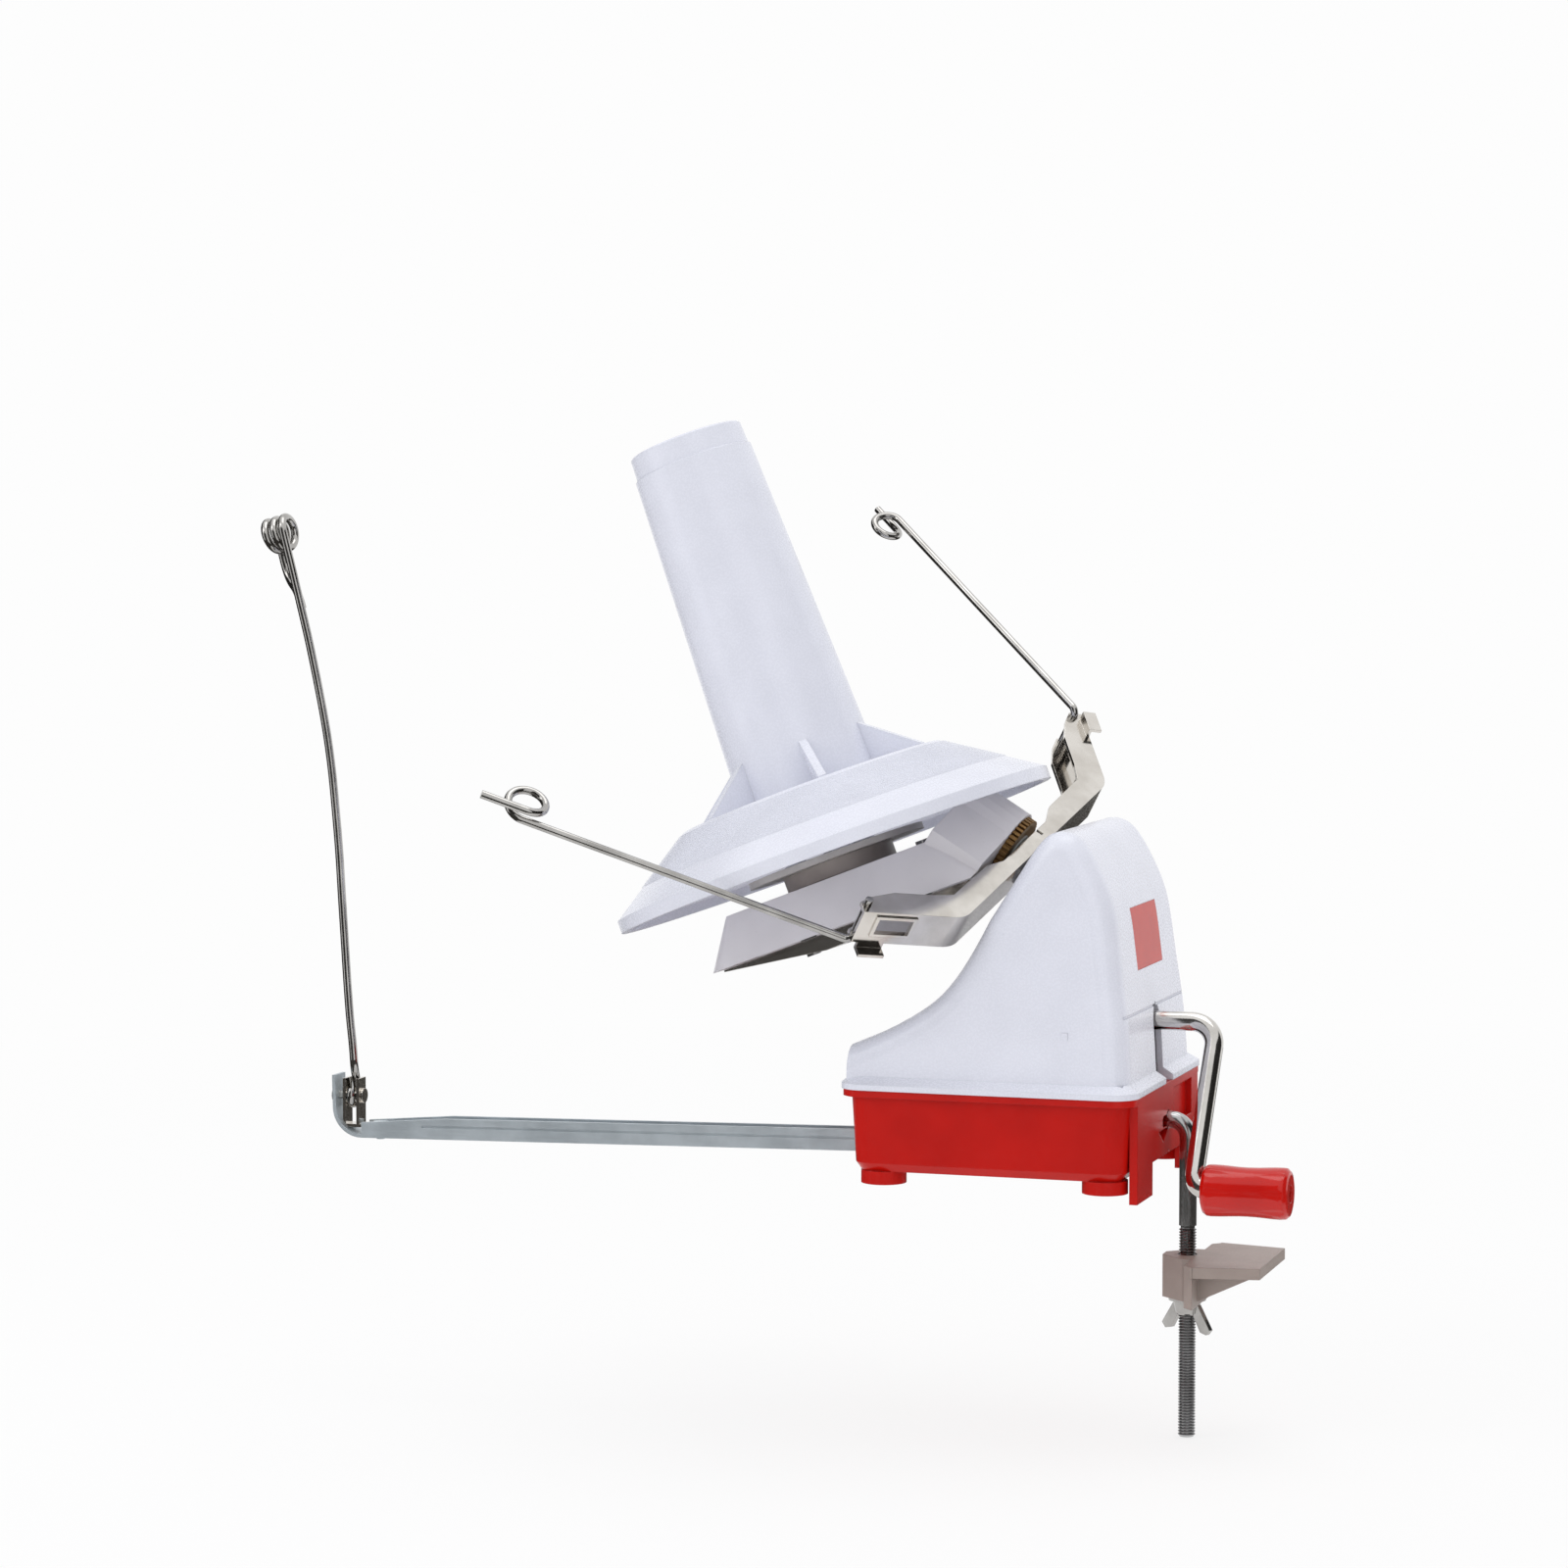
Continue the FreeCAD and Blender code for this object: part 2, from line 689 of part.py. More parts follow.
housing_screws = []
for x in screw_x:
    for y in (-screw_y, screw_y):
        head = pillar(x, y, deck_bottom - 2.0, deck_bottom, 3.4)
        screw = head.fuse(pillar(x, y, deck_bottom - 0.5, deck_top + 14, screw_radius))
        slot = box(x - 2.6, x + 2.6, y - 0.5, y + 0.5, deck_bottom - 3, deck_bottom - 1.2)
        slot = slot.fuse(box(x - 0.5, x + 0.5, y - 2.6, y + 2.6, deck_bottom - 3, deck_bottom - 1.2))
        housing_screws.append(screw.cut(slot))
keep("housing_screws", housing_screws)

# Crank rod, bent twice, with its bush, clip and knob
inner_start = Vector(crank_inner_x, 0, 0)
elbow = Vector(crank_elbow_x, 0, 0)
lower = Vector(crank_arm_x, 0, -crank_throw)
knob_start = crank_arm_x + crank_rod_radius + 0.5
knob_end = knob_start + knob_length
rod_end = knob_end - 4.6
knob_corner = Vector(rod_end, 0, -crank_throw)
spindle = wire_run(bent([inner_start, elbow, lower, knob_corner], (crank_bend, knob_bend)),
                   crank_rod_radius)
groove = rod(Vector(crank_inner_x + 0.8, 0, 0), Vector(crank_inner_x + 1.8, 0, 0), 6)
groove = groove.cut(rod(Vector(crank_inner_x, 0, 0), Vector(0, 0, 0), 2.5))
spindle = spindle.cut(groove)
rivet_shank = 1.5
spindle = spindle.cut(rod(Vector(rod_end - 7, 0, -crank_throw), Vector(rod_end + 1, 0, -crank_throw),
                          rivet_shank))
big_cone, small_cone = cone_angles(crank_ratio_teeth[0], crank_ratio_teeth[1], drive_angle)
feed_big, feed_small = cone_angles(drive_ratio_teeth[0], drive_ratio_teeth[1], drive_angle)
large_far = (apex_distance + pinion_front) / math.cos(small_cone) * math.cos(big_cone)
feed_far = (apex_distance + drive_gear_front) / math.cos(feed_small) * math.cos(feed_big)
crank_gear_place = Placement(apex, Rotation(y_axis, -90))
gear_bore = crank_rod_radius


def crank_gear(teeth, cone, far, hub_length, hub_radius, hollow):
    scale = 1 - gear_face / far
    near = far - gear_face
    body = bevel(teeth, cone, far, near, True)
    body = body.fuse(pillar(0, 0, near - hub_length, near + 0.1, hub_radius))
    body = body.cut(pillar(0, 0, near - hub_length - 1, far + 1, gear_bore))
    body = body.cut(sleeve(far - 1.8, far + 1, hub_radius, hollow))
    return body, near


large_gear, large_near = crank_gear(crank_ratio_teeth[0], big_cone, large_far, 4.0, 8.0, 28.0)
feed_gear, feed_near = crank_gear(drive_ratio_teeth[0], feed_big, feed_far, 3.6, 7.0, 20.5)
for i in range(6):
    angle = math.pi / 3 * (i + 0.5)
    spot = Vector(19.0 * math.cos(angle), 19.0 * math.sin(angle), 0)
    large_gear = large_gear.cut(pillar(spot.x, spot.y, 0, 100, 6.0))
pin_radius = 1.2
pins = []
pin_specs = ((large_near - 2.2, 8.0), (feed_near - 2.0, 7.0))
shaped = []
for gear, (along, hub) in zip((large_gear, feed_gear), pin_specs):
    hole = rod(Vector(0, -hub - 1, along), Vector(0, hub + 1, along), pin_radius)
    shaped.append(gear.cut(hole))
    pin = rod(Vector(0, -hub + 0.4, along), Vector(0, hub - 0.4, along), pin_radius)
    pin.Placement = crank_gear_place
    pins.append(pin)
gear_tip = shaped[0].BoundBox.XMax
well_x = apex.x - large_far
gear_well = rod(Vector(well_x - 1.0, 0, crank_z), Vector(well_x + gear_face + 1.0, 0, crank_z),
                gear_tip + 0.5)
keep("base_tray", tray.cut(gear_well))
keep("crank_gear_large", shaped[0], crank_gear_place)
keep("crank_gear_small", shaped[1], crank_gear_place)
keep("crank_gear_pins", pins)
placed_rod = spindle.copy()
placed_rod.Placement = crank_place
for pin in pins:
    placed_rod = placed_rod.cut(pin)
keep("crank_rod", placed_rod)
clip = rod(Vector(crank_inner_x + 0.9, 0, 0), Vector(crank_inner_x + 1.7, 0, 0), 5.2)
clip = clip.cut(rod(Vector(crank_inner_x, 0, 0), Vector(0, 0, 0), 2.5))
clip = clip.cut(box(-10, 0, -1.6, 1.6, -8, 0))
keep("crank_clip", clip, crank_place)

flute_profile = []
for i in range(knob_flutes * 12):
    angle = 2 * math.pi * i / (knob_flutes * 12)
    radius = knob_radius + 0.1 - knob_flute * (0.5 - 0.5 * math.cos(knob_flutes * angle)) ** 2
    flute_profile.append(Vector(knob_start, radius * math.cos(angle),
                                radius * math.sin(angle) - crank_throw))
flute_curve = Part.BSplineCurve()
flute_curve.interpolate(Points=flute_profile, PeriodicFlag=True)
knob = Part.Face(Part.Wire(flute_curve.toShape())).extrude(Vector(knob_length, 0, 0))
knob_line = (Vector(knob_start, 0, -crank_throw), Vector(knob_end, 0, -crank_throw))
knob_outline = [(0, 0), (knob_radius - 2.4, 0), (knob_radius - 1.0, 0.5), (knob_radius - 0.15, 1.7)]
knob_outline.append((knob_radius, 3.2))
for i in range(1, 8):
    share = i / 8.0
    dip = (knob_radius - knob_waist) * math.sin(math.pi * share) ** 1.5
    knob_outline.append((knob_radius - dip, 3.2 + (knob_length - 6.0) * share))
knob_outline += [(knob_radius, knob_length - 2.8), (knob_radius - 0.2, knob_length - 1.3)]
knob_outline += [(knob_radius - 1.2, knob_length - 0.3), (knob_radius - 2.4, knob_length), (0, knob_length)]
rounding = turned(knob_outline)
rounding.Placement = Placement(knob_line[0], Rotation(y_axis, 90))
knob = knob.common(rounding)
knob_mouth = knob_line[0] - Vector(1, 0, 0)
bend_end = Vector(crank_arm_x + knob_bend + 0.3, 0, -crank_throw)
knob = knob.cut(rod(knob_mouth, bend_end, crank_rod_radius + 1.0))
knob = knob.cut(rod(knob_mouth, knob_corner + Vector(0.3, 0, 0), crank_rod_radius + run_fit))
knob = knob.cut(rod(knob_corner, knob_line[1] + Vector(1, 0, 0), rivet_shank + 0.3))
screw_seat = knob_end - 2.2
knob = knob.cut(rod(Vector(screw_seat, 0, -crank_throw), knob_line[1] + Vector(1, 0, 0), 2.9))
keep("crank_knob", knob, crank_place)
screw_reach = -8.4
screw_head = turned([(0, screw_reach), (rivet_shank, screw_reach), (rivet_shank, 0), (2.5, 0), (2.5, 0.7),
                     (1.9, 1.3), (0, 1.5)])
screw_head.Placement = Placement(Vector(screw_seat + 0.05, 0, -crank_throw), Rotation(y_axis, 90))
screw_head = screw_head.cut(box(screw_seat + 0.9, screw_seat + 3, -0.4, 0.4, -crank_throw - 3,
                                -crank_throw + 3))
keep("knob_screw", screw_head, crank_place)

# Crank bearing, pressed into the outer post of the gear frame
crank_bore = crank_rod_radius + run_fit
bush_outer = crank_bore + bush_wall
bush = turned([(crank_bore, outer_post_x[0]), (bush_outer, outer_post_x[0]), (bush_outer, outer_post_x[1]),
               (bush_outer + 1.8, outer_post_x[1]), (bush_outer + 1.8, outer_post_x[1] + 1.4),
               (crank_bore, outer_post_x[1] + 1.4)])
bush.Placement = Placement(Vector(0, 0, crank_z), Rotation(y_axis, 90))
keep("crank_bush", bush)

# Gear frame: a casting on the deck that carries the crank and clamps the head tube
upright_y = (39.3, 42.1)
frame_floor = 2.5
frame_top = deck_top + frame_floor
frame = [box(-6.0, 35.5, -34.0, 34.0, deck_top, frame_top)]
frame.append(box(12.0, 21.5, -upright_y[1], upright_y[1], deck_top, frame_top))
for side in (-1, 1):
    y0, y1 = sorted((side * upright_y[0], side * upright_y[1]))
    frame.append(box(12.0, 21.5, y0, y1, deck_top, 93.0))
cross_bar = box(-8, 8, -upright_y[1], upright_y[1], -26, -20)
cross_bar = cross_bar.fuse(pillar(0, 0, -26, -20, 9.0))
cross_bar.Placement = flyer_place
frame.append(cross_bar)
for x0, x1 in (inner_post_x, outer_post_x):
    frame.append(box(x0, x1, -post_half_y, post_half_y, deck_top, crank_z))
    frame.append(rod(Vector(x0, 0, crank_z), Vector(x1, 0, crank_z), post_half_y))
frame = joined(frame)
large_x = apex.x - large_far
frame = frame.cut(box(large_x - 1.5, large_x + gear_face + 1.5, -18, 18, 0, frame_top + 1))
frame = frame.cut(rod(Vector(-20, 0, crank_z), Vector(20, 0, crank_z), crank_bore))
frame = frame.cut(rod(Vector(20, 0, crank_z), Vector(45, 0, crank_z), bush_outer))
tube_hole = pillar(0, 0, -30, 0, head_tube_outer)
tube_hole.Placement = flyer_place
frame = frame.cut(tube_hole)
for x, y in frame_screw_spots:
    frame = frame.cut(pillar(x, y, 0, 25, 1.25))
keep("gear_frame", frame)
frame_screws = []
for x, y in frame_screw_spots:
    frame_screws.append(pillar(x, y, frame_top, frame_top + 1.6,
                               2.6).fuse(pillar(x, y, deck_bottom, frame_top + 1, 1.25)))
keep("frame_screws", [screw.removeSplitter() for screw in frame_screws])

# Flyer bush, tube, pinion and yoke
bush_shape = turned([(flyer_bush_inner, -10.6), (flyer_bush_outer, -10.6),
                     (flyer_bush_outer, housing_face_h + 0.1),
                     (9.6, housing_face_h + 0.1), (9.6, -3.9), (flyer_bush_inner, -3.9)])
keep("flyer_bush", bush_shape, flyer_place)
pinion_back = pinion_front - gear_face
tube = turned([(flyer_tube_inner, pinion_back), (flyer_tube_outer, pinion_back), (flyer_tube_outer, -1.8),
               (9.0, -1.8),
               (9.0, 0), (flyer_tube_outer, 0), (flyer_tube_outer, yoke_sheet),
               (flyer_tube_outer + 0.35, yoke_sheet),
               (flyer_tube_outer + 0.35, yoke_sheet + 0.7), (flyer_tube_inner, yoke_sheet + 1.0)])
keep("flyer_tube", tube, flyer_place)


def pinion(teeth, cone, far, hub_to, hub_radius, bore):
    body = bevel(teeth, cone, far, far - gear_face, False)
    low, high = sorted((hub_to, far - gear_face / 2))
    body = body.fuse(pillar(0, 0, low, high, hub_radius))
    return body.cut(pillar(0, 0, 0, far + 20, bore))


apex_place = Placement(apex, Rotation(y_axis, -flyer_lean))
pinion_far = apex_distance + pinion_front
keep("flyer_pinion",
     pinion(crank_ratio_teeth[1], small_cone, pinion_far, pinion_far + 1.1, 8.0, flyer_tube_outer),
     apex_place)
yoke_path = [(-arm_end_u, arm_rise), (-yoke_half, 0), (yoke_half, 0), (arm_end_u, arm_rise)]
half_wide = yoke_width / 2
slope = math.atan2(arm_rise, arm_end_u - yoke_half)
arm_run = (arm_end_u - yoke_half) / math.cos(slope)


def on_arm(run, depth):
    # a spot along an arm of the yoke, measured from its bend and up from its sheet
    return (yoke_half + run * math.cos(slope) - depth * math.sin(slope),
            run * math.sin(slope) + depth * math.cos(slope))


edge = [(0, 1.0), (yoke_half - math.tan(slope / 2), 1.0), on_arm(arm_run, 1.0),
        on_arm(arm_run, flange_depth - 0.6)]
edge += [on_arm(arm_run - 5.0, flange_arm - 2.6), on_arm(arm_run - 14.0, flange_arm),
         on_arm(8.6, flange_arm)]
edge += [(yoke_half - 7.0, flange_middle + 0.3), (24.0, flange_middle), (16.0, flange_depth),
         (0, flange_depth)]
yoke = folded(yoke_path, 0, yoke_sheet, yoke_bend, -half_wide, half_wide)
for side in (-1, 1):
    outline = [(side * u, h) for u, h in edge]
    for y0, y1 in ((-half_wide, -half_wide + yoke_sheet), (half_wide - yoke_sheet, half_wide)):
        yoke = yoke.fuse(slab(outline, y0, y1))
yoke = yoke.removeSplitter()
yoke = yoke.cut(box(-9.2, -7.9, -10, 10, flange_depth - 2.6, 12))
yoke = yoke.cut(pillar(0, 0, -1, 5, flyer_tube_outer))
arm_frame = Placement(Vector(yoke_half, 0, 0), Rotation(y_axis, -math.degrees(slope)))
half_turn = Placement(Vector(0, 0, 0), Rotation(Vector(0, 0, 1), 180))
window_run = (arm_run - 19.0, arm_run - 6.5)
window_y = (-2.4, 4.2)
for turn in (Placement(), half_turn):
    arm_spot = turn.multiply(arm_frame)
    ear = box(arm_run - 12.0, arm_run - 2.5, -half_wide - 3.4, -half_wide + 0.5, 0, 1.2)
    ear = ear.fuse(box(arm_run - 12.0, arm_run - 2.5, -half_wide - 3.4, -half_wide - 2.2, -3.6, 1.2))
    raised = box(window_run[0] - 1.3, window_run[1] + 1.3, window_y[0] - 1.3, window_y[1] + 1.3, -0.6, 0.4)
    window = box(window_run[0], window_run[1], window_y[0], window_y[1], -2, 3)
    for piece in (ear, raised, window):
        piece.Placement = arm_spot
    yoke = yoke.fuse(ear).fuse(raised).cut(window)
yoke = yoke.removeSplitter()
pivot_z = (arm_pivot_u - yoke_half) * math.tan(slope) + arm_pivot_rise / math.cos(slope)
for side in (-1, 1):
    yoke = yoke.cut(rod(Vector(side * arm_pivot_u, -10, pivot_z), Vector(side * arm_pivot_u, 10, pivot_z),
                        wire_radius + wire_fit))
keep("flyer_yoke", yoke, yoke_place)

# Wire arms: each hooks through the yoke, rises to a one-turn eye and ends in a straight tail


def wire_arm(ring_radius, tail):
    root = Vector(arm_pivot_u, half_wide + 2.6, pivot_z)
    corner = Vector(arm_pivot_u, -arm_side, pivot_z)
    centre = Vector(ring_u, ring_v, ring_height)
    lean = math.radians(ring_tilt)
    rise = (centre - corner).normalize()
    for i in range(3):
        inward = Vector(-math.cos(lean), math.sin(lean), 0)
        inward = (inward - rise * inward.dot(rise)).normalize()
        sideways = inward.cross(rise)
        touch = centre - inward * ring_radius - sideways * (ring_advance / 2)
        rise = (touch - corner).normalize()
    inward = (inward - rise * inward.dot(rise)).normalize()
    arriving = (corner - root).normalize()
    reach = arm_wire_bend * math.tan(arriving.getAngle(rise) / 2)
    stations = [(root, arriving), (corner - arriving * reach, arriving), (corner + rise * reach, rise)]
    loop = coil(touch, rise, inward, ring_radius, ring_advance / 4.0, 4, -1)
    stations += loop
    end, heading = loop[-1]
    stations.append((end + heading * tail, heading))
    print("wire arm, least gap to itself", round(least_gap(stations, wire_radius), 2))
    return wire_run(stations, wire_radius)


keep("wire_arm_near", wire_arm(ring_sizes[0], tip_lengths[0]), yoke_place)
keep("wire_arm_far", wire_arm(ring_sizes[1], tip_lengths[1]), yoke_place.multiply(half_turn))

# Fixed head tube, its nut, and the drive shaft through it
lay_v = head_module * (wheel_teeth / 2.0 + idler_teeth + lay_teeth / 2.0)
idler_v = head_module * (wheel_teeth + idler_teeth) / 2.0
to_spool = spool_place.inverse()
start_v = to_spool.multVec(flyer_origin)
axis_v = to_spool.multVec(flyer_origin + flyer_axis) - start_v
head_h = (lay_v - start_v.x) / axis_v.x
head_point = start_v + axis_v * head_h
head_tube_end = head_h - bevel_far - 0.5
head_tube = turned([(head_tube_inner, -28.2), (head_tube_outer, -28.2), (head_tube_outer, -20), (5.6, -20),
                    (5.6, -18.6), (head_tube_outer, -18.6), (head_tube_outer, head_tube_end),
                    (head_tube_inner, head_tube_end)])
keep("head_tube", head_tube, flyer_place)
keep("head_tube_nut", bar_of(6, 10.0, -27.9, -26).cut(pillar(0, 0, -30, -20, head_tube_outer)), flyer_place)
drive_far = apex_distance + drive_gear_front
drive_shaft = pillar(0, 0, drive_gear_front - gear_face - 3.0, head_h - bevel_near + 0.6,
                     drive_shaft_radius)
keep("drive_shaft", drive_shaft, flyer_place)
keep("drive_gear",
     pinion(drive_ratio_teeth[1], feed_small, drive_far, drive_far - gear_face - 2.6, 5.0,
            drive_shaft_radius), apex_place)

# Head under the spool: bevel pair, lay shaft, idler and spool wheel
head_world = spool_place.multVec(head_point)
head_bevel_place = Placement(head_world, Rotation(y_axis, 180 - flyer_lean))
lay_bevel_place = spool_place.multiply(Placement(head_point, Rotation(Vector(1, 0, 0), 180)))
head_bevel = bevel(head_bevel_teeth, head_angle / 2, bevel_far, bevel_near, False)
keep("head_bevel", head_bevel.cut(pillar(0, 0, 0, 20, drive_shaft_radius)), head_bevel_place)
lay_bevel = bevel(head_bevel_teeth, head_angle / 2, bevel_far, bevel_near, True)
keep("lay_bevel", lay_bevel.cut(pillar(0, 0, 0, 20, lay_shaft_radius)), lay_bevel_place)
lay_low = head_point.z - bevel_far
lay_place = spool_place.multiply(Placement(Vector(lay_v, 0, 0), Rotation()))
idler_place = spool_place.multiply(Placement(Vector(idler_v, 0, 0), Rotation()))
keep("lay_shaft", pillar(0, 0, lay_low - 0.6, wheel_top + 0.1, lay_shaft_radius), lay_place)
lay_pinion = spur(lay_teeth, wheel_bottom, wheel_top, False).cut(pillar(0, 0, -30, 0, lay_shaft_radius))
keep("lay_pinion", lay_pinion, lay_place)
idler = spur(idler_teeth, wheel_bottom, wheel_top,
             True).cut(pillar(0, 0, -30, 0, idler_pin_radius + run_fit))
keep("idler_gear", idler, idler_place)
carrier_bottom = carrier_top - carrier_thick
keep("idler_pin", pillar(0, 0, carrier_bottom, wheel_top + 0.1, idler_pin_radius), idler_place)
wheel = spur(wheel_teeth, wheel_bottom, wheel_top, True)
wheel = wheel.cut(pillar(0, 0, -30, 0, spindle_radius))
for i in range(6):
    angle = math.pi / 3 * i
    wheel = wheel.cut(pillar(14 * math.cos(angle), 14 * math.sin(angle), -30, 0, 4.2))
keep("spool_wheel", wheel, spool_place)
boss_low = -19.6
spindle_low = boss_low - 2.6
spindle_outline = [(0, spindle_low), (spindle_radius, spindle_low), (spindle_radius, boss_low - 1.6),
                   (3.0, boss_low - 1.6), (3.0, boss_low - 0.6), (spindle_radius, boss_low - 0.6),
                   (spindle_radius, spindle_top), (0, spindle_top)]
keep("spool_spindle", turned(spindle_outline), spool_place)
clip_ring = sleeve(boss_low - 1.5, boss_low - 0.7, 3.0, 6.4).cut(box(0, 10, -2.2, 2.2, -30, 0))
keep("spindle_clip", clip_ring, spool_place)

# Spool, disc and hub turn together on the spindle
ridge_outline = []
slope_r = flange_radius - plateau_radius
slope_z = plateau_height - flange_rim
slope_length = math.hypot(slope_r, slope_z)
ridge_start = slope_length - 1.5 - ridge_count * ridge_pitch
for i in range(ridge_count):
    for part, lift in ((0.0, 0), (0.35, ridge_depth), (0.65, ridge_depth), (1.0, 0)):
        along = ridge_start + (i + part * 0.8) * ridge_pitch
        r = flange_radius - slope_r * along / slope_length + lift * slope_z / slope_length
        z = flange_rim + slope_z * along / slope_length + lift * slope_r / slope_length
        ridge_outline.append((r, z))
collar_z = spool_top - collar_length
tube_slope = (tube_base_radius - tube_top_radius) / (spool_top - plateau_height)
collar_radius = tube_base_radius - tube_slope * (collar_z - plateau_height)
web_low = plateau_height - spool_wall
outline = [(tube_base_radius, plateau_height), (collar_radius, collar_z),
            (collar_radius - collar_step, collar_z + 0.4), (tube_top_radius - collar_step, spool_top - 0.6),
            (tube_top_radius - collar_step - 0.6, spool_top),
            (tube_top_radius - collar_step - spool_wall, spool_top),
            (collar_radius - collar_step - spool_wall, collar_z),
            (tube_base_radius - spool_wall, plateau_height)]
tube_piece = turned(outline)
flange_outline = [(flange_radius, 0), (flange_radius, flange_rim)] + ridge_outline
flange_outline += [(plateau_radius, plateau_height), (0, plateau_height), (0, web_low),
                   (plateau_radius - 0.8, web_low),
                   (flange_radius - 2.6, 3.2), (flange_radius - 2.6, 0)]
spool = turned(flange_outline)
fins = []
for i in range(fin_count):
    profile = [(tube_base_radius - 1.2, plateau_height), (fin_reach, plateau_height),
               (fin_reach, plateau_height + 0.6), (tube_base_radius - 0.8, plateau_height + fin_height)]
    fin = slab(profile, -fin_thick / 2, fin_thick / 2)
    fin.rotate(Vector(0, 0, 0), Vector(0, 0, 1), 360.0 / fin_count * i + 5.5 - 71.6 + 60)
    fins.append(fin)
hub_screw_circle = 15.0
posts = []
for i in range(3):
    angle = math.radians(120 * i + 60)
    spot = (hub_screw_circle * math.cos(angle), hub_screw_circle * math.sin(angle))
    posts.append(pillar(spot[0], spot[1], disc_top, web_low + 0.5, 4.0))
spool = joined([spool] + posts)
tube_piece = joined([tube_piece] + fins)
spool = spool.cut(pillar(0, 0, 0, plateau_height + 5, spindle_radius))
disc = pillar(0, 0, disc_bottom, disc_top, disc_radius)
disc = disc.cut(pillar(0, 0, -10, 10, spindle_radius))
hub_low = hood_top + slip_gap
hub = sleeve(hub_low, disc_bottom, spindle_radius, hub_radius)
hub_screws = []
for i in range(3):
    angle = math.radians(120 * i + 60)
    x = hub_screw_circle * math.cos(angle)
    y = hub_screw_circle * math.sin(angle)
    shank = pillar(x, y, hub_low + 1.2, 12.0, 1.4)
    hub_screws.append(shank.fuse(pillar(x, y, hub_low + 0.1, hub_low + 1.6, 2.8)).removeSplitter())
    hub = hub.cut(pillar(x, y, hub_low - 1, hub_low + 1.6, 2.8)).cut(pillar(x, y, -10, disc_bottom + 1,
                                                                            1.4))
    disc = disc.cut(pillar(x, y, -10, 10, 1.4))
    spool = spool.cut(pillar(x, y, -10, 12.0, 1.4))
keep("spool_flange", spool, spool_place)
keep("spool_tube", tube_piece, spool_place)
keep("spool_disc", disc, spool_place)
keep("spool_hub", hub, spool_place)
keep("hub_screws", hub_screws, spool_place)
nut_low = plateau_height
keep("spool_nut", bar_of(6, 13.0, nut_low, nut_low + 5).cut(pillar(0, 0, 0, 40, spindle_radius)),
     spool_place)

# Hood over the head, with the pan that closes it below


def hood_solid(inset, low_z):
    share = (low_z - hood_top) / (hood_bottom - hood_top)
    mouth_v = [top + (low - top) * share for top, low in zip(hood_top_v, hood_bottom_v)]
    mouth_y = hood_top_half_y + (hood_bottom_half_y - hood_top_half_y) * share
    top_z = hood_top - inset
    upper = round_rect(hood_top_v[0] + inset, hood_top_v[1] - inset, -hood_top_half_y + inset,
                       hood_top_half_y - inset, 6.0 - inset, top_z)
    lower = round_rect(mouth_v[0] + inset, mouth_v[1] - inset, -mouth_y + inset, mouth_y - inset,
                       12.0 - inset, low_z)
    form = tapered(lower, upper)
    section = [(-9.0, -hood_top_half_y + inset), (hood_shoulder, -hood_top_half_y + inset)]
    for degrees in (-60, -45, -30, -15, 0, 15, 30, 45, 60):
        angle = math.radians(degrees)
        section.append(((hood_crown - inset) * math.cos(angle), (hood_crown - inset) * math.sin(angle)))
    section += [(hood_shoulder, hood_top_half_y - inset), (-9.0, hood_top_half_y - inset)]
    crown = plate(section, hood_rear_h, hood_front_h)
    top_h = hood_crown_h - 1.41 * inset
    slope_cut = [(-60, 0), (30, 0), (30, top_h + hood_crown - 30), (-20, top_h + hood_crown + 20),
                 (-60, 60)]
    crown = crown.common(slab(slope_cut, -60, 60))
    crown.Placement = spool_place.inverse().multiply(flyer_place)
    form = form.fuse(crown)
    rear = box(-200, 60, -80, 80, hood_rear_h + inset, 200)
    rear.Placement = spool_place.inverse().multiply(flyer_place)
    form = form.common(rear)
    return form.common(box(-100, 150, -80, 80, low_z, 100))


hood = hood_solid(0, hood_bottom).cut(hood_solid(hood_wall, hood_bottom - 0.5))
hood = hood.cut(pillar(0, 0, -10, 0, spindle_radius + 0.6))
in_spool = spool_place.inverse().multiply(flyer_place)
neck_radius = 7.4
neck_hole = pillar(0, 0, hood_rear_h - 3, hood_rear_h + 3, neck_radius + 0.1)
neck_hole.Placement = in_spool
hood = hood.cut(neck_hole)
hood_screw_spots = [(37.0, -19.0), (37.0, 19.0)]
for v, y in hood_screw_spots:
    hood = hood.cut(pillar(v, y, -12, 0, 1.2))

pan_outline = [(-46.0, hood_bottom - 0.2), (-46.0, hood_bottom - 0.9), (-8.0, pan_depth),
               (42.0, pan_depth + 1.0),
               (48.6, hood_bottom - 1.0), (48.6, hood_bottom - 0.2)]
pan = slab(pan_outline, -pan_half_y, pan_half_y)
pan_inner = [(-44.0, hood_bottom + 1), (-44.0, hood_bottom - 0.9 + pan_sheet - 1.2),
             (-8.0, pan_depth + pan_sheet),
             (41.5, pan_depth + 1.0 + pan_sheet), (47.2, hood_bottom - 0.6), (47.2, hood_bottom + 1)]
pan_space = slab(pan_inner, -pan_half_y + pan_sheet, pan_half_y - pan_sheet)
pan = pan.cut(pan_space)
pan_screw_spots = [(22.0, -11.0), (22.0, 11.0), (-20.0, 0.0)]
pan_screws = []
for v, y in pan_screw_spots:
    floor = pan_depth + (1.0 * (v + 8.0) / 50.0 if v > -8 else (-8.0 - v) * 5.1 / 38.0)
    pan = pan.cut(pillar(v, y, -40, 0, 1.2))
    screw = pillar(v, y, floor - 0.4, carrier_bottom - 1.5,
                   1.2).fuse(pillar(v, y, floor - 1.4, floor - 0.25, 2.6))
    pan_screws.append(screw.cut(pan).removeSplitter())
keep("pan", pan, spool_place)
keep("pan_screws", pan_screws, spool_place)

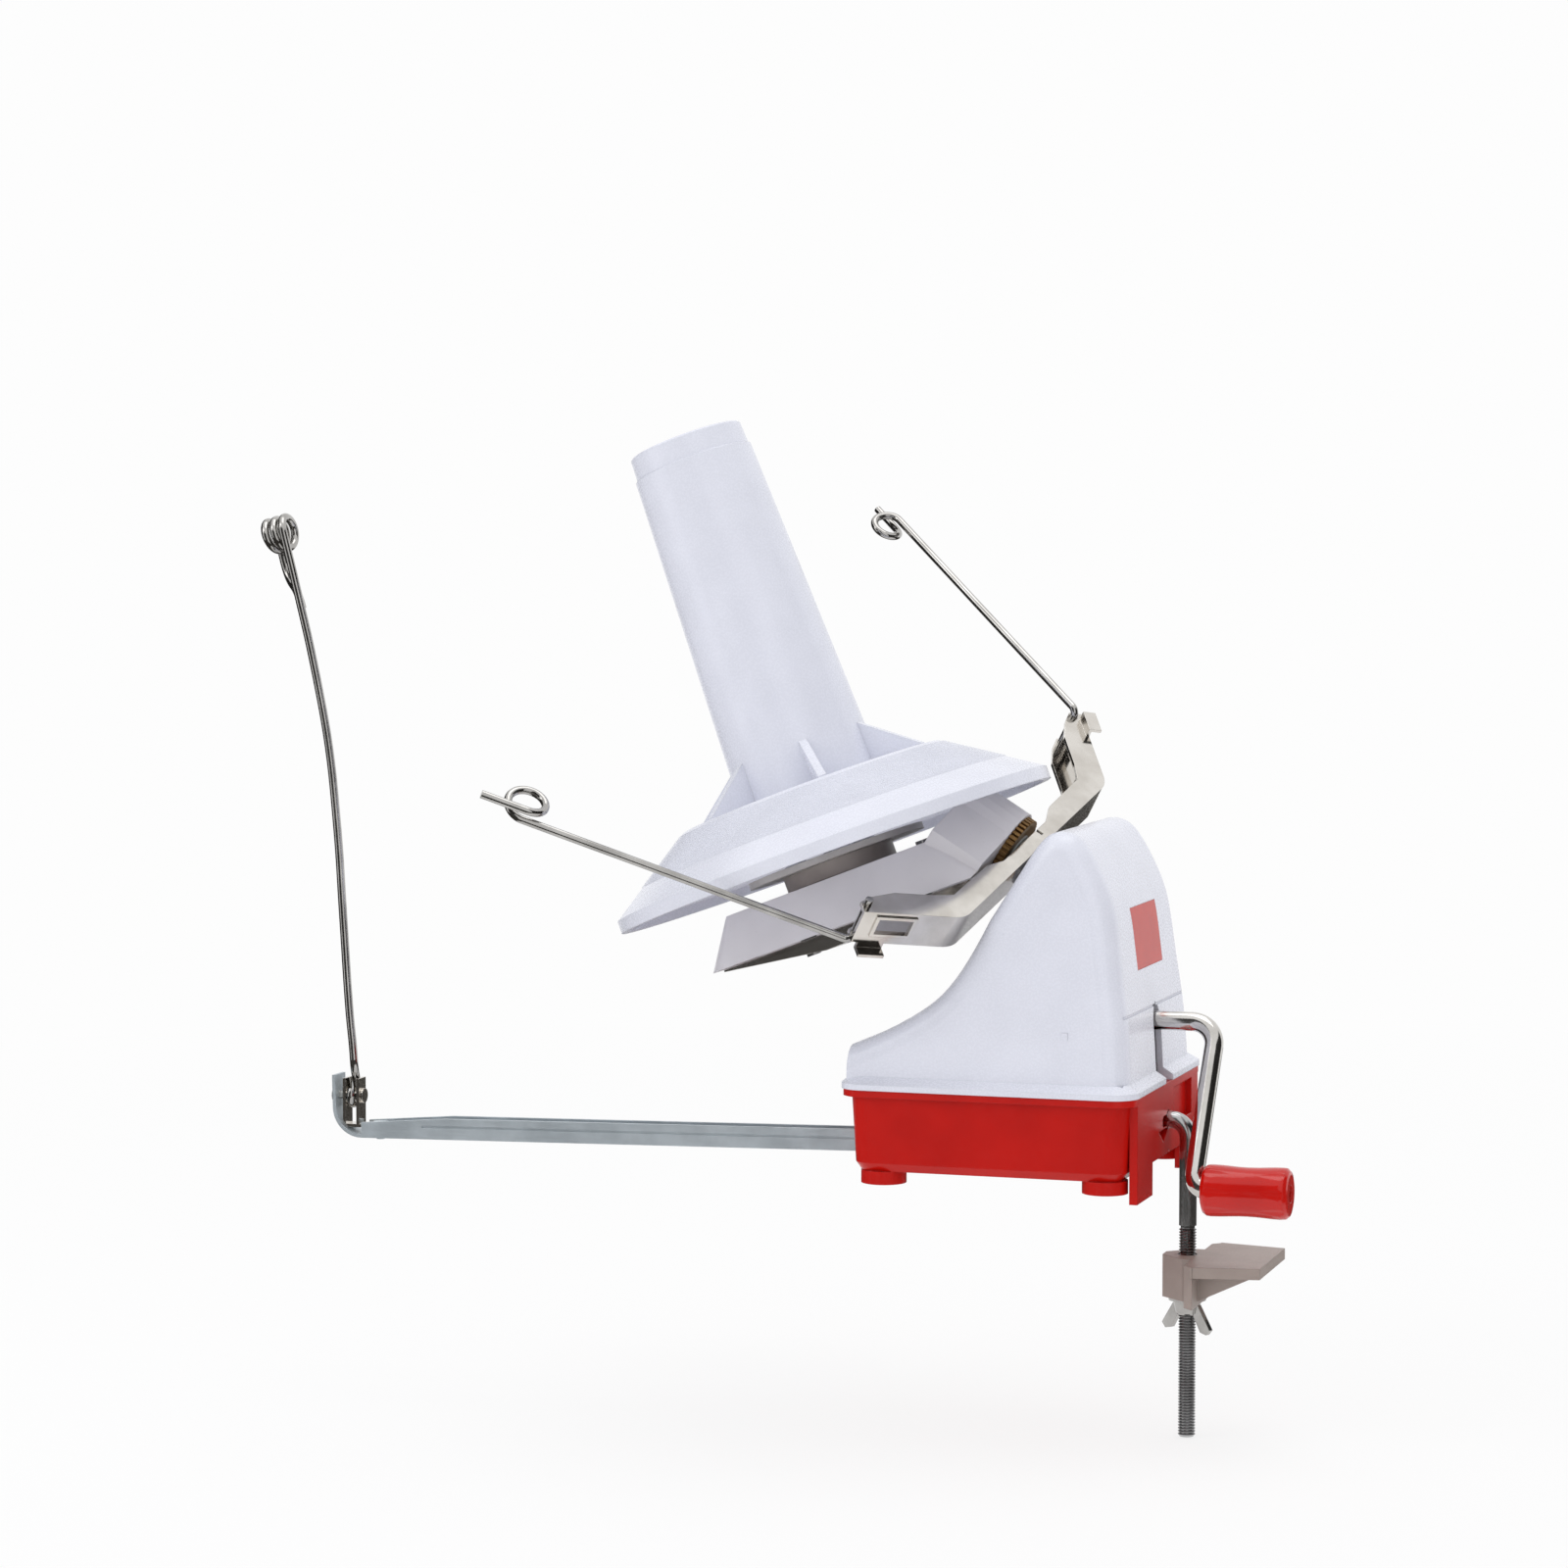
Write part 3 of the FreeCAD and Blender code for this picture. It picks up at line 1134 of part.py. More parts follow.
# Head casting: carrier plate, bearings, cheeks and the neck clamped on the head tube
carrier = [(-12.0, -11.0), (22.0, -11.0), (31.5, -23.0), (42.0, -23.0), (46.0, -12.0), (54.4, -8.0),
           (54.4, 8.0), (46.0, 12.0), (42.0, 23.0), (31.5, 23.0), (22.0, 11.0), (-12.0, 11.0)]
casting = [plate(carrier, carrier_bottom, carrier_top),
           plate([(-26.0, -6.0), (-11.0, -6.0), (-11.0, 6.0), (-26.0, 6.0)],
           carrier_bottom, carrier_top)]
casting.append(pillar(0, 0, boss_low, carrier_bottom + 0.5, 7.5))
casting.append(sleeve(wheel_bottom - 0.9, wheel_bottom - 0.3, 1.0, 6.0))
casting.append(pillar(0, 0, carrier_top - 0.5, wheel_bottom - 0.3, 7.0))
casting.append(pillar(idler_v, 0, carrier_top - 0.5, wheel_bottom - 0.3, 4.6))
casting.append(pillar(lay_v, 0, carrier_top - 0.5, wheel_bottom - 0.3, 3.2))
for v, y in hood_screw_spots:
    casting.append(pillar(v, y, carrier_top - 0.5, hood_top - hood_wall, 3.4))
for v, y in pan_screw_spots:
    casting.append(pillar(v, y, -32, carrier_bottom + 0.5, 3.0))
neck = pillar(0, 0, flange_depth + 0.6, head_tube_end, neck_radius)
neck = neck.fuse(box(-9.5, 7.0, -9.8, 9.8, hood_rear_h + hood_wall + 0.05, head_tube_end + 1.2))
neck = neck.cut(pillar(0, 0, head_tube_end, head_tube_end + 3, 6.4))
neck.Placement = in_spool
casting.append(neck)
cheek = [(-9.5, hood_rear_h + hood_wall + 0.05), (7.5, hood_rear_h + hood_wall + 0.05),
         (7.5, head_tube_end + 4.0),
         (0.5, head_tube_end + 10.0), (-22.0, head_tube_end + 13.0), (-18.0, head_tube_end + 6.0)]
for y0, y1 in ((-9.8, -7.0), (7.0, 9.8)):
    side = slab(cheek, y0, y1)
    side.Placement = in_spool
    casting.append(side)
casting = joined(casting)
casting = casting.cut(slab([(-60, -60), (60, -60), (60, pan_depth)] + [(41.5, pan_depth + 1.0 + pan_sheet),
                      (-8.0, pan_depth + pan_sheet), (-44.0, hood_bottom - 0.9), (-60, hood_bottom)], -40,
                      40))
casting = casting.cut(pillar(0, 0, -40, 0, spindle_radius + run_fit))
casting = casting.cut(pillar(idler_v, 0, -40, 0, idler_pin_radius))
casting = casting.cut(pillar(lay_v, 0, -40, 0, lay_shaft_radius + run_fit))
for v, y in hood_screw_spots:
    casting = casting.cut(pillar(v, y, carrier_bottom, 0, 1.2))
for v, y in pan_screw_spots:
    casting = casting.cut(pillar(v, y, -40, carrier_bottom - 1.5, 1.2))
tube_bore = pillar(0, 0, 0, head_tube_end + 0.1, head_tube_outer)
tube_bore.Placement = in_spool
casting = casting.cut(tube_bore)
keep("head_casting", casting, spool_place)
ribs = []
for i in range(collar_ribs):
    angle = 2 * math.pi * i / collar_ribs
    for share, radius in ((0.0, 0.0), (0.5, 0.0), (0.62, 0.9), (0.88, 0.9)):
        turn = angle + 2 * math.pi / collar_ribs * share
        ribs.append(((collar_radius_out - radius) * math.cos(turn),
                     (collar_radius_out - radius) * math.sin(turn)))
collar = plate(ribs, flange_depth + 1.2, hood_rear_h - 0.05).cut(pillar(0, 0, 0, 20, neck_radius))
keep("neck_collar", collar, flyer_place)
keep("hood", hood, spool_place)
hood_screws = []
for v, y in hood_screw_spots:
    head = pillar(v, y, hood_top, hood_top + 1.3, 2.4)
    screw = head.fuse(pillar(v, y, carrier_bottom + 0.3, hood_top + 0.5, 1.2))
    screw = screw.cut(box(v - 1.8, v + 1.8, y - 0.35, y + 0.35, hood_top + 0.6, hood_top + 2))
    hood_screws.append(screw.removeSplitter())
keep("hood_screws", hood_screws, spool_place)

# Guide arm: a channel that slides in the base and turns up at its far end
arm_place = Placement(Vector(arm_mouth_x, 0, arm_root_z), Rotation(y_axis, -arm_droop))
local_inner = arm_inner_x - arm_mouth_x
local_outer = arm_outer_x - arm_mouth_x
arm_low = -arm_height / 2
upturn = arm_upturn_top - arm_root_z + 4.6
path = [(local_inner, arm_low), (local_outer, arm_low), (local_outer, upturn)]
path = [(x, z) for x, z in reversed(path)]
strip = folded(path, 0, arm_sheet, arm_bend, -arm_half_y, arm_half_y)
flange_start = local_outer + arm_bend
flanges = []
for y0, y1 in ((-arm_half_y, -arm_half_y + arm_sheet), (arm_half_y - arm_sheet, arm_half_y)):
    side = [(local_inner, arm_low), (local_inner, -arm_low), (flange_start + 33, -arm_low)]
    side += [(flange_start, arm_low + flange_low), (flange_start, arm_low)]
    flanges.append(slab(side, y0, y1))
guide = joined([strip] + flanges)
groove_z = arm_height * 0.1
for y0, y1 in ((-arm_half_y - 1, -arm_half_y + 0.5), (arm_half_y - 0.5, arm_half_y + 1)):
    guide = guide.cut(box(flange_start + 24, local_inner + 1, y0, y1, groove_z - 0.45, groove_z + 0.45))
guide.Placement = arm_place
guide = guide.cut(box(arm_mouth_x - 2, 0, -10, 10, arm_roof_z, arm_roof_z + 5))
pin_hole = rod(Vector(arm_outer_x - 5, 0, mast_pin_z), Vector(arm_outer_x + 20, 0, mast_pin_z),
               mast_pin_radius)
guide = guide.cut(pin_hole)
for x in (-243.0,):
    guide = guide.cut(pillar(x, 0, -5, 8, 1.5))
keep("guide_arm", guide)
bracket_low = 3.6
plate_x = (mast_x - mast_wire_radius - 1.7, mast_x + mast_wire_radius + 0.6)
bracket_half = arm_half_y - arm_sheet - 0.15
bracket = box(plate_x[0], -240.0, -bracket_half, bracket_half, bracket_low, bracket_low + 1.2)
for x in plate_x:
    bracket = bracket.fuse(box(x, x + 1.2, -bracket_half, bracket_half, bracket_low, arm_upturn_top - 1))
bracket = bracket.cut(pin_hole.fuse(rod(Vector(-262, 0, mast_pin_z), Vector(-245, 0, mast_pin_z),
                                        mast_pin_radius)))
bracket = bracket.cut(pillar(-243.0, 0, -5, 8, 1.5)).removeSplitter()
bracket = bracket.cut(nodes["guide_arm"])
keep("mast_bracket", bracket)
pin_end = plate_x[1] + 1.2
mast_pin = rod(Vector(arm_outer_x, 0, mast_pin_z), Vector(pin_end + 0.9, 0, mast_pin_z), mast_pin_radius)
for x0, x1 in ((arm_outer_x - 1.3, arm_outer_x - 0.05), (pin_end + 0.05, pin_end + 1.0)):
    mast_pin = mast_pin.fuse(rod(Vector(x0, 0, mast_pin_z), Vector(x1, 0, mast_pin_z), 2.7))
mast_pin = mast_pin.fuse(rod(Vector(arm_outer_x - 0.3, 0, mast_pin_z), Vector(arm_outer_x, 0, mast_pin_z),
                             mast_pin_radius))
mast_pin = mast_pin.removeSplitter().cut(nodes["guide_arm"]).cut(nodes["mast_bracket"])
keep("mast_pin", mast_pin)
rivet = pillar(-243.0, 0, -0.6, bracket_low + 2.0, 1.5)
rivet = rivet.fuse(pillar(-243.0, 0, bracket_low + 1.2, bracket_low + 2.2, 2.8))
rivet = rivet.cut(nodes["mast_bracket"]).cut(nodes["guide_arm"])
keep("bracket_rivet", max(rivet.Solids, key=lambda part: part.Volume))

# Wire mast: a loop round the pin, a long gently bowed stem, a coiled eye and a tail back to the stem
loop_radius = mast_pin_radius + mast_wire_radius + run_fit
stations = []
for degrees in (140, 180, 270, 360):
    angle = math.radians(degrees)
    point = Vector(mast_x, loop_radius * math.cos(angle), mast_pin_z + loop_radius * math.sin(angle))
    stations.append((point, Vector(0, -math.sin(angle), math.cos(angle))))
stem = [(mast_x, 28.0), (-255.3, 48.0), (-257.3, 79.3), (-259.3, 110.8), (-262.6, 142.3), (-268.6, 173.6),
        (-276.2, 205.0)]
stem_top = Vector(-280.2, 0, 220.5)
points = [Vector(x, 0, z) for x, z in stem] + [stem_top]
for i, point in enumerate(points[:-1]):
    behind = points[i - 1] if i else point - Vector(0, 0, 10)
    stations.append((point, (points[i + 1] - behind).normalize()))
up = (points[-1] - points[-2]).normalize()
stations.append((stem_top, up))
coil_axis = Vector(-0.985, 0.12, 0)
inward = coil_axis.cross(up).normalize()
if inward.y < 0:
    inward = inward * -1
turns = coil(stem_top, up, inward, mast_coil_radius, mast_coil_pitch / 4.0, int(mast_coil_turns * 4))
stations += turns[1:]
coil_end, falling = turns[-1]
stations.append((coil_end + falling * 10.0, falling))
tail_end = Vector(-274.5, 4.0, 192.5)
stations.append((tail_end, (points[-2] - stem_top).normalize()))
print("mast wire, least gap to itself", round(least_gap(stations, mast_wire_radius), 2))
keep("mast_wire", wire_run(stations, mast_wire_radius))

# Clip under the deck that holds the guide arm, with its screws
clip_wall = 1.4
clip_x = (-29.0, -19.0)
inner_half = arm_half_y + 0.35
clip_low = arm_root_z - arm_height / 2 - clip_wall
saddle = box(clip_x[0], clip_x[1], -inner_half - clip_wall, inner_half + clip_wall, clip_low, deck_bottom)
saddle = saddle.cut(box(clip_x[0] - 1, clip_x[1] + 1, -inner_half, inner_half, clip_low + clip_wall,
                        deck_bottom + 1))
for side in (-1, 1):
    y0, y1 = sorted((side * (inner_half + 0.2), side * 12.5))
    saddle = saddle.fuse(box(clip_x[0], clip_x[1], y0, y1, deck_bottom - clip_wall, deck_bottom))
saddle = saddle.removeSplitter()
saddle_screws = []
for x, y in clip_screw_spots:
    saddle = saddle.cut(pillar(x, y, 0, 20, 1.25))
    head = pillar(x, y, deck_bottom - clip_wall - 1.4, deck_bottom - clip_wall, 2.4)
    saddle_screws.append(head.fuse(pillar(x, y, deck_bottom - clip_wall - 0.5, deck_top,
                                          1.25)).removeSplitter())
keep("arm_clip", saddle)
keep("arm_clip_screws", saddle_screws)

# Clamp: hooked rod with a ridged end, jaw, washer and wing nut
hook = [Vector(clamp_hook_x, 0, clamp_hook_top), Vector(clamp_hook_x, 0, clamp_hole_z),
        Vector(clamp_rod_x, 0, clamp_hole_z), Vector(clamp_rod_x, 0, clamp_rod_bottom)]
clamp_rod = wire_run(bent(hook, (clamp_bend, clamp_bend)), clamp_rod_radius)
thread_top = -16.8
thread_core = clamp_rod_radius - 0.55
ridges = [(thread_core, clamp_rod_bottom)]
z = clamp_rod_bottom + 0.3
while z + 1.0 <= thread_top:
    ridges += [(clamp_rod_radius - 0.02, z + 0.35), (clamp_rod_radius - 0.02, z + 0.55),
               (thread_core, z + 0.9)]
    z += 1.0
ridges += [(thread_core, thread_top), (clamp_rod_radius + 2, thread_top),
           (clamp_rod_radius + 2, clamp_rod_bottom - 1)]
ridges.append((thread_core, clamp_rod_bottom - 1))
cutter = turned(ridges)
cutter.translate(Vector(clamp_rod_x, 0, 0))
clamp_rod = clamp_rod.cut(cutter)
keep("clamp_rod", clamp_rod)
rod_place = Placement(Vector(clamp_rod_x, 0, 0), Rotation())
jaw_bottom = jaw_top - jaw_height
wall_x = (3.7, 7.3)
block = [(-8.1, -3.0), (-8.1, 3.0), (0.5, 10.7), (wall_x[0], 10.7), (wall_x[0], jaw_root_half_y - 3.6),
         (wall_x[1], jaw_root_half_y), (wall_x[1], -jaw_root_half_y), (wall_x[0], -jaw_root_half_y + 3.6),
         (wall_x[0], -10.7), (0.5, -10.7)]
jaw = [plate(block, jaw_bottom, jaw_top)]
jaw.append(plate([(wall_x[1] - 1, -jaw_root_half_y), (jaw_reach, -jaw_tip_half_y),
                  (jaw_reach, jaw_tip_half_y),
                  (wall_x[1] - 1, jaw_root_half_y)], jaw_top - jaw_plate, jaw_top))
for y in (-17.0, 14.0):
    jaw.append(slab([(wall_x[1] - 1, jaw_bottom + 1.0), (jaw_reach - 3.5, jaw_top - jaw_plate - 0.4),
                     (jaw_reach - 3.5, jaw_top - 1), (wall_x[1] - 1, jaw_top - 1)], y, y + 3.0))
jaw = joined(jaw).cut(pillar(0, 0, -80, 0, clamp_rod_radius + slip_gap))
keep("clamp_jaw", jaw, rod_place)
washer_low = jaw_bottom - washer_thick
keep("washer", sleeve(washer_low, jaw_bottom, clamp_rod_radius + 0.1, washer_radius), rod_place)
nut_low = washer_low - nut_height
nut_shape = turned([(0.5, washer_low), (nut_radius, washer_low), (nut_radius - 0.8, nut_low + 0.6),
                    (nut_radius - 1.4, nut_low), (0.5, nut_low)])
for side in (-1, 1):
    wing = [(side * 2.0, washer_low - 0.9), (side * 5.6, washer_low - 1.2),
            (side * (wing_reach - 1.2), nut_low - 2.4),
            (side * wing_reach, nut_low - 4.2), (side * (wing_reach - 1.6), nut_low - 6.0),
            (side * (wing_reach - 4.4), nut_low - 5.4), (side * 3.0, nut_low + 0.8)]
    nut_shape = nut_shape.fuse(slab(wing, -0.85, 0.85))
nut_shape = nut_shape.cut(pillar(0, 0, -80, 0, clamp_rod_radius + 0.06)).removeSplitter()
keep("wing_nut", nut_shape, Placement(Vector(clamp_rod_x, 0, 0), Rotation(Vector(0, 0, 1), wing_angle)))

os.makedirs("parts", exist_ok=True)
for name in sorted(nodes):
    shape = nodes[name]
    shape.exportStep("parts/" + name + ".step")
    box_size = shape.BoundBox
    print(name, "valid", shape.isValid(), "solids", len(shape.Solids), "volume", round(shape.Volume, 1),
          "box", [round(v, 1) for v in (box_size.XMin, box_size.XMax, box_size.YMin, box_size.YMax,
                                        box_size.ZMin, box_size.ZMax)])
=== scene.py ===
import json
import math

import bpy
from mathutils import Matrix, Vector


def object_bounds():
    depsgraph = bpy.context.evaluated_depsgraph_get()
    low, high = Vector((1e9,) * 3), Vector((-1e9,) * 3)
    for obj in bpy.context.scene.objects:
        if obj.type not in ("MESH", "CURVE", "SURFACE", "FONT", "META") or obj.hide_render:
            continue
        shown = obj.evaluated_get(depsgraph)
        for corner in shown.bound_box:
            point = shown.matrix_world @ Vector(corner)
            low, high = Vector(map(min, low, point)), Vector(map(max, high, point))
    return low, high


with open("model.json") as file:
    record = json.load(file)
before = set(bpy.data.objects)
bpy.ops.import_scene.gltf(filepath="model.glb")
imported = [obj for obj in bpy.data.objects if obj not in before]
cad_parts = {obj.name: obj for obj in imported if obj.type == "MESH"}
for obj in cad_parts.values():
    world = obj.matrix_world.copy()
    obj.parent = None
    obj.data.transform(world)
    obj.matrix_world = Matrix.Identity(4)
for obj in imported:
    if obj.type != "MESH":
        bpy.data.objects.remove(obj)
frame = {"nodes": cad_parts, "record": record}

cad_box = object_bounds()
nodes = frame["nodes"]
MM = 0.001
edge_rays = 4  # samples of each rounded edge
clean_white = "#FDFDFD"  # what the backdrop is where it is seen


def linear(code):
    """An sRGB hex colour as linear light, with alpha 1."""
    parts = [int(code[i:i + 2], 16) / 255 for i in (1, 3, 5)]
    lit = [p / 12.92 if p <= 0.04045 else ((p + 0.055) / 1.055) ** 2.4 for p in parts]
    return (lit[0], lit[1], lit[2], 1.0)


def add(owner, kind, inputs=None, **settings):
    """A new node in a material or world, with its settings. Each input is a value, or a socket to
    link from."""
    node = owner.node_tree.nodes.new(kind)
    for name, value in settings.items():
        setattr(node, name, value)
    for name, value in (inputs or {}).items():
        socket = node.inputs[name]
        if isinstance(value, bpy.types.NodeSocket):
            owner.node_tree.links.new(value, socket)
        else:
            socket.default_value = value
    return node


def blank(name):
    """A new material with no nodes in it yet."""
    material = bpy.data.materials.new(name)
    material.use_nodes = True
    material.node_tree.nodes.clear()
    return material


def between(ramp_node, stops):
    """Sets the colours of a ramp, each as (place, hex colour), and gives the ramp back."""
    ramp = ramp_node.color_ramp
    while len(ramp.elements) > len(stops):
        ramp.elements.remove(ramp.elements[-1])
    while len(ramp.elements) < len(stops):
        ramp.elements.new(0.5)
    for element, (place, colour) in zip(ramp.elements, stops):
        element.position = place
        element.color = linear(colour)
    return ramp_node


def moulded_abs(name, colour, shade, gloss, mirror=0.5):
    """Injection-moulded ABS: glossy, with walls that sink a little between ribs and soft edges.
    A polished mould leaves a haze under 0.1 mm across, drawn 0.7 mm across so that it shows."""
    sink_mm, sink_depth_mm = 14.0, 0.25
    haze_mm, haze_depth_mm = 0.7, 0.05
    edge_mm = 0.45
    plastic = blank(name)
    where = add(plastic, "ShaderNodeTexCoord").outputs["Object"]
    sink = add(plastic, "ShaderNodeTexNoise", {
        "Vector": where, "Scale": 1 / (sink_mm * MM), "Detail": 1.0})
    haze = add(plastic, "ShaderNodeTexNoise", {
        "Vector": where, "Scale": 1 / (haze_mm * MM), "Detail": 3.0})
    tint = between(add(plastic, "ShaderNodeValToRGB", {"Fac": sink.outputs["Fac"]}),
                   [(0.3, shade), (0.7, colour)])
    rough = add(plastic, "ShaderNodeMapRange", {
        "Value": haze.outputs["Fac"], "From Min": 0.3, "From Max": 0.7,
        "To Min": gloss - 0.03, "To Max": gloss + 0.05})
    edge = add(plastic, "ShaderNodeBevel", {"Radius": edge_mm * MM}, samples=edge_rays)
    wave = add(plastic, "ShaderNodeBump", {
        "Height": sink.outputs["Fac"], "Normal": edge.outputs["Normal"],
        "Strength": 0.12, "Distance": sink_depth_mm * MM})
    grain = add(plastic, "ShaderNodeBump", {
        "Height": haze.outputs["Fac"], "Normal": wave.outputs["Normal"],
        "Strength": 0.012, "Distance": haze_depth_mm * MM})
    shader = add(plastic, "ShaderNodeBsdfPrincipled", {
        "Base Color": tint.outputs["Color"], "Roughness": rough.outputs["Result"],
        "Normal": grain.outputs["Normal"], "IOR": 1.5, "Specular IOR Level": mirror})
    add(plastic, "ShaderNodeOutputMaterial", {"Surface": shader.outputs["BSDF"]})
    return plastic


def painted_root_shade(metal, where, tint, top_mm, crest_mm, pitch_mm):
    """The tint with painted shade in the roots of a thread, which lies below its top and has a
    crest at crest_mm and at every pitch from there."""
    # Painted shade: the roots of the thread are darkened towards this colour, by at most this
    # share.
    root_shade_colour, most_root_shade = "#1E1C1A", 0.85
    root_shade_starts, root_shade_full = 0.18 * pitch_mm, 0.42 * pitch_mm  # mm from the crest along the rod
    up = add(metal, "ShaderNodeSeparateXYZ", {"Vector": where}).outputs["Z"]
    from_crest = add(metal, "ShaderNodeMath", {0: up, 1: crest_mm * MM}, operation="SUBTRACT")
    depth = add(metal, "ShaderNodeMath", {0: from_crest.outputs[0], 1: pitch_mm / 2 * MM},
                operation="PINGPONG")
    root_darkening = add(metal, "ShaderNodeMapRange", {
        "Value": depth.outputs[0], "From Min": root_shade_starts * MM, "From Max": root_shade_full * MM,
        "To Min": 0.0, "To Max": most_root_shade})
    threaded = add(metal, "ShaderNodeMath", {0: up, 1: top_mm * MM}, operation="LESS_THAN")
    share = add(metal, "ShaderNodeMath", {0: root_darkening.outputs["Result"], 1: threaded.outputs[0]},
                operation="MULTIPLY")
    # Sockets 6 and 7 of a colour mix are its two colours, and output 2 is the mixed one.
    mix = add(metal, "ShaderNodeMix", {0: share.outputs[0], 6: tint, 7: linear(root_shade_colour)},
              data_type="RGBA")
    return mix.outputs[2]


def plated_steel(name, bright, dull, roughness, line_mm, along=(1.0, 1.0, 1.0), depth=0.05,
                 edge_mm=0.25, metallic=1.0, thread=None):
    """Plated steel: it mirrors what is round it, a little broken up by the lines of drawing,
    rolling or pressing. These are under 0.1 mm wide, and are drawn line_mm wide so that they show.
    thread, as (top, a crest, pitch) in mm, paints shade into the roots of a thread below that top."""
    cloud_mm, line_depth_mm = 11, 0.05
    metal = blank(name)
    where = add(metal, "ShaderNodeTexCoord").outputs["Object"]
    drawn = add(metal, "ShaderNodeMapping", {"Vector": where, "Scale": along})
    lines = add(metal, "ShaderNodeTexNoise", {
        "Vector": drawn.outputs["Vector"], "Scale": 1 / (line_mm * MM),
        "Detail": 3.0, "Roughness": 0.6})
    cloud = add(metal, "ShaderNodeTexNoise", {
        "Vector": where, "Scale": 1 / (cloud_mm * MM), "Detail": 3.0})
    tint = between(add(metal, "ShaderNodeValToRGB", {"Fac": cloud.outputs["Fac"]}),
                   [(0.35, dull), (0.65, bright)]).outputs["Color"]
    # Painted shade in the roots of the thread.
    if thread:
        tint = painted_root_shade(metal, where, tint, *thread)
    rough = add(metal, "ShaderNodeMapRange", {
        "Value": lines.outputs["Fac"], "From Min": 0.3, "From Max": 0.7,
        "To Min": roughness * 0.75, "To Max": roughness * 1.3})
    edge = add(metal, "ShaderNodeBevel", {"Radius": edge_mm * MM}, samples=edge_rays)
    grain = add(metal, "ShaderNodeBump", {
        "Height": lines.outputs["Fac"], "Normal": edge.outputs["Normal"],
        "Strength": depth, "Distance": line_depth_mm * MM})
    shader = add(metal, "ShaderNodeBsdfPrincipled", {
        "Base Color": tint, "Metallic": metallic, "Roughness": rough.outputs["Result"],
        "Normal": grain.outputs["Normal"]})
    add(metal, "ShaderNodeOutputMaterial", {"Surface": shader.outputs["BSDF"]})
    return metal


def gritty_solid(name, colour, shade, roughness, grit_mm, depth, metallic=0.0):
    """A cast, sintered, moulded or painted face: soft highlights broken up by a fine even grit.
    The grit of paint and moulded nylon is finer than grit_mm, which is as fine as shows."""
    cloud_mm, grit_depth_mm = 12, 0.15
    edge_mm = 0.35
    solid = blank(name)
    where = add(solid, "ShaderNodeTexCoord").outputs["Object"]
    grit = add(solid, "ShaderNodeTexNoise", {
        "Vector": where, "Scale": 1 / (grit_mm * MM), "Detail": 4.0})
    cloud = add(solid, "ShaderNodeTexNoise", {
        "Vector": where, "Scale": 1 / (cloud_mm * MM), "Detail": 2.0})
    tint = between(add(solid, "ShaderNodeValToRGB", {"Fac": cloud.outputs["Fac"]}),
                   [(0.35, shade), (0.65, colour)])
    rough = add(solid, "ShaderNodeMapRange", {
        "Value": grit.outputs["Fac"], "From Min": 0.3, "From Max": 0.7,
        "To Min": roughness - 0.07, "To Max": roughness + 0.07})
    edge = add(solid, "ShaderNodeBevel", {"Radius": edge_mm * MM}, samples=edge_rays)
    grain = add(solid, "ShaderNodeBump", {
        "Height": grit.outputs["Fac"], "Normal": edge.outputs["Normal"],
        "Strength": depth, "Distance": grit_depth_mm * MM})
    shader = add(solid, "ShaderNodeBsdfPrincipled", {
        "Base Color": tint.outputs["Color"], "Metallic": metallic,
        "Roughness": rough.outputs["Result"], "Normal": grain.outputs["Normal"]})
    add(solid, "ShaderNodeOutputMaterial", {"Surface": shader.outputs["BSDF"]})
    return solid


# Moulded ABS: even colour and a clear, slightly wavy highlight. The red pieces mirror less of the
# white round them, so that their pigment stays deep.
white_abs = moulded_abs("white_abs", "#DFE1EC", "#DBDDE8", 0.26)
# The hood's warm white is drawn lighter than it is: painted light, which lifts it out of the shade
# under the flange.
hood_abs = moulded_abs("hood_abs", "#E4E1E5", "#DEDBDF", 0.3)
red_abs = moulded_abs("red_abs", "#C0130B", "#B6110A", 0.22, mirror=0.3)
knob_abs = moulded_abs("knob_abs", "#C6150D", "#BA120B", 0.14, mirror=0.45)
badge_abs = moulded_abs("badge_abs", "#C42A1C", "#BA1F14", 0.2, mirror=0.15)

# Nickel plate: warm and bright, with dark lines where it mirrors what is dark round it. The wire
# is drawn a tone darker than the pressed sheet, which is painted shade.
nickel = plated_steel("nickel_plated_sheet", "#DDD9D3", "#CBC6BF", 0.12, 0.3)
nickel_wire = plated_steel("nickel_plated_wire", "#BDBBB8", "#A3A19E", 0.1, 0.4, depth=0.03)
crank_nickel = plated_steel("nickel_plated_rod", "#D8D5D1", "#C6C3BE", 0.12, 0.4, depth=0.03)

# Zinc plate: bluish and satin, because its passivated film scatters about half of the light. The
# rolling lines run along the arm.
zinc = plated_steel("zinc_plated_steel", "#C6CFD5", "#B4BDC3", 0.38, 0.4, along=(0.05, 1.0, 1.0),
                    metallic=0.55)

# The clamp rod: the same plate, but bright, with painted shade in the roots of its thread. Its M6
# thread has a 1 mm pitch, and its top and one crest are heights in mm from the plane of the feet.
thread_top, thread_crest, thread_pitch = -16.8, -89.55, 1.0
rod_zinc = plated_steel("zinc_plated_rod", "#C4C4C5", "#B0AFAF", 0.16, 0.4, depth=0.03,
                        edge_mm=0.04, thread=(thread_top, thread_crest, thread_pitch))

# Bare turned steel: neutral grey with short, sharp highlights.
steel = plated_steel("turned_steel", "#A9A9AA", "#8F8F91", 0.22, 0.3)

